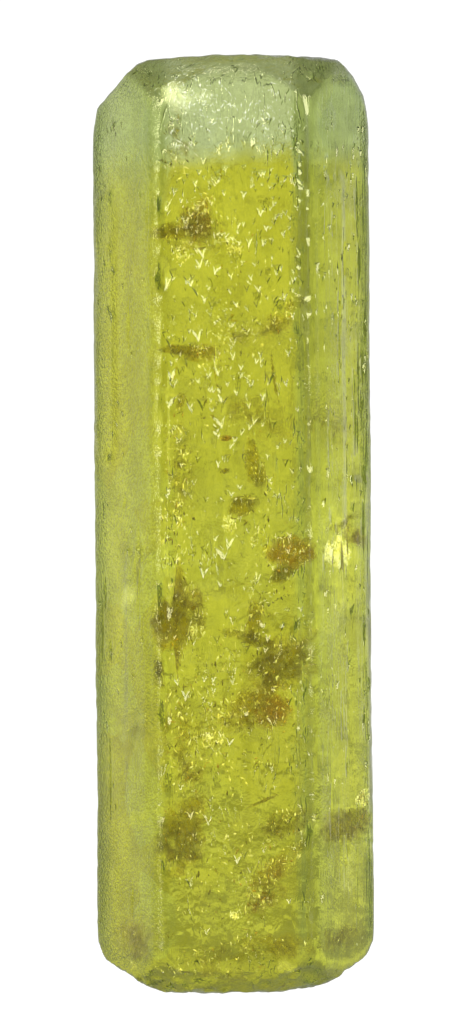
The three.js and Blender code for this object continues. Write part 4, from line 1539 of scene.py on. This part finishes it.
VEIL_FINISHES = {
    Tone.DARK: VeilFinish(
        "stained_film", colour(0.3, 0.28, 0.01), colour(0.17, 0.155, 0.008), colour(0.25, 0.165, 0.004), 0.86
    ),
    # The pale film: partly painted light, as near the top of the cap it stands in for reflected highlights.
    Tone.BRIGHT: VeilFinish(
        "pale_film", colour(0.9, 0.95, 0.8), colour(0.8, 0.85, 0.6), colour(0.9, 0.8, 0.5), 0.55
    ),
}


@dataclass(frozen=True)
class Softbox:
    """A soft lamp: its name, its place and its size in metres, and its power in watts."""

    name: str
    place: tuple[float, float, float]
    size: tuple[float, float]
    power: float


SOFTBOXES = (
    Softbox("left_softbox", (-0.5, -0.38, 0.24), (0.24, 0.3), 2.4),
    Softbox("right_softbox", (0.5, -0.38, 0.24), (0.24, 0.3), 2.4),
    Softbox("top_softbox", (-0.1, -0.3, 0.6), (0.2, 0.2), 1.8),
)


@dataclass
class Studio:
    """A plain pale floor, soft light and the photograph's camera."""

    picture_height: float = 48.06
    picture_middle: tuple[float, float] = (0.07, 22.56)
    distance: float = 850.0
    roll: float = 0.37
    sensor: float = 36.0
    floor_radius: float = 0.3
    floor_sides: int = 96
    lamps_aim: tuple[float, float, float] = (0.0, 0.0, 0.022)
    surround: float = 0.775
    side_gain: float = 1.3
    floor_glow: float = 0.44
    white: float = 1.1
    warmth: tuple[float, float, float] = (1.0, 0.97, 0.55)

    def build(self) -> None:
        """Builds the floor, the world, the lamps and the camera."""
        self.floor()
        self.world()
        for softbox in SOFTBOXES:
            self.lamp(softbox)
        self.camera()

    def floor(self) -> None:
        """A pale glowing disc under the crystal, a fan of triangles round its middle."""
        sides = self.floor_sides
        turn = np.linspace(0.0, 2.0 * np.pi, sides, endpoint=False)
        ring = np.stack([np.cos(turn), np.sin(turn), np.zeros(sides)], axis=1) * self.floor_radius / MM
        number = np.arange(sides)
        fan = np.stack([number, np.roll(number, -1), np.full(sides, sides)], axis=1)
        disc = new_object("studio_floor", new_mesh("studio_floor", np.r_[ring, [[0.0, 0.0, 0.0]]], [fan]))
        material, desk = new_material("pale_floor")
        strength = desk.math("MULTIPLY_ADD", self.seen(desk), self.white - self.floor_glow, self.floor_glow)
        pale = desk.add("ShaderNodeEmission", {"Color": colour(1.0, 1.0, 1.0), "Strength": strength})
        desk.add("ShaderNodeOutputMaterial", {"Surface": pale.outputs[0]})
        disc.data.materials.append(material)

    def world(self) -> None:
        """Soft light from all round: palest to the sides of the crystal's back, darker above and in front."""
        world = bpy.data.worlds.new("studio_light")
        bpy.context.scene.world = world
        world.use_nodes = True
        desk = NodeDesk(world.node_tree)
        way = desk.add("ShaderNodeTexCoord").outputs["Generated"]
        split = desk.add("ShaderNodeSeparateXYZ", {0: way})
        aside = desk.math("ABSOLUTE", split.outputs["X"])
        level = desk.rise(aside, 0.4, 0.65, self.surround, self.surround * self.side_gain)
        # Each fade's value, where it starts and ends, and the shares of the light that it leaves there.
        fades = (
            (aside, 0.76, 0.9, 1.0, 0.36),
            (desk.math("ABSOLUTE", split.outputs["Z"]), 0.12, 0.5, 1.0, 0.5),
            (split.outputs["Y"], -0.6, -0.9, 1.0, 0.35),
            (desk.noise(way, 4.5, 1.0), 0.36, 0.64, 0.7, 1.26),
        )
        for fade in fades:
            level = desk.math("MULTIPLY", level, desk.rise(*fade))
        strength = desk.math("MULTIPLY_ADD", self.seen(desk), desk.math("SUBTRACT", self.white, level), level)
        light = desk.add("ShaderNodeBackground", {"Color": colour(1.0, 1.0, 1.0), "Strength": strength})
        desk.add("ShaderNodeOutputWorld", {"Surface": light.outputs[0]})

    def seen(self, desk: NodeDesk) -> object:
        """1 where the camera looks straight at the surround, and 0 for the light that the crystal gathers."""
        return desk.add("ShaderNodeLightPath").outputs["Is Camera Ray"]

    def lamp(self, softbox: Softbox) -> None:
        """Adds a soft lamp that looks at the crystal's middle and isn't seen by the camera."""
        data = bpy.data.lights.new(softbox.name, "AREA")
        data.shape = "RECTANGLE"
        data.size, data.size_y = softbox.size
        data.energy, data.color = softbox.power, self.warmth
        lamp = new_object(softbox.name, data)
        lamp.location = softbox.place
        lamp.rotation_euler = self.aim(np.array(softbox.place), np.array(self.lamps_aim))
        lamp.visible_camera = lamp.visible_transmission = False

    def aim(self, place: np.ndarray, target: np.ndarray) -> tuple[float, float, float]:
        """The turns about X and Z that point an object's -Z axis from a place at a target."""
        way = target - place
        level = math.hypot(way[0], way[1])
        return math.atan2(level, -way[2]), 0.0, math.atan2(-way[0], way[1])

    def camera(self) -> None:
        """A long lens straight in front of the crystal, rolled by the photograph's small tilt."""
        data = bpy.data.cameras.new("camera")
        data.sensor_width = self.sensor
        data.lens = self.sensor * self.distance / self.picture_height
        data.clip_start, data.clip_end = 0.01, 20.0
        camera = new_object("camera", data)
        camera.location = (self.picture_middle[0] * MM, -self.distance * MM, self.picture_middle[1] * MM)
        camera.rotation_euler = (math.radians(90.0), 0.0, 0.0)
        camera.rotation_euler.rotate_axis("Z", math.radians(-self.roll))
        bpy.context.scene.camera = camera


def dress(piece: bpy.types.Object, material: bpy.types.Material) -> None:
    """Gives a piece its material, and says that it rides on the crystal's body and shares its slot."""
    piece.data.materials.clear()
    piece.data.materials.append(material)
    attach(piece, BODY)


def main() -> None:
    """Builds the crystal and its studio round the frame."""
    logging.basicConfig(level=logging.INFO, format="%(message)s")
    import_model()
    form = CrystalForm(height=(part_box(NODE)[1][2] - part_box(NODE)[0][2]) / MM)
    scene = bpy.context.scene
    scene.view_settings.view_transform = "Standard"

    shape = CrystalSkin(form)
    skin = shape.build(EtchedMarks(form, shape))
    beryl = BerylFinish()
    dress(skin, beryl.build())
    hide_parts(NODE)
    skin.visible_shadow = False
    LOG.info("crystal_skin: %d faces", len(skin.data.polygons))

    fractures = Fractures(form, beryl.ior)
    for seed, tone in enumerate(Tone):
        pieces = [(fractures.scattered(tone, seed), FLAKE_FINISHES[tone])]
        if tone in VEIL_FINISHES:
            pieces.append((fractures.films(tone), VEIL_FINISHES[tone]))
        for piece, finish in pieces:
            dress(piece, finish.build())
            LOG.info("%s: %d faces", piece.name, len(piece.data.polygons))

    Studio().build()
    LOG.info("studio: floor, world, lamps and camera")


if __name__ == "__main__":
    main()
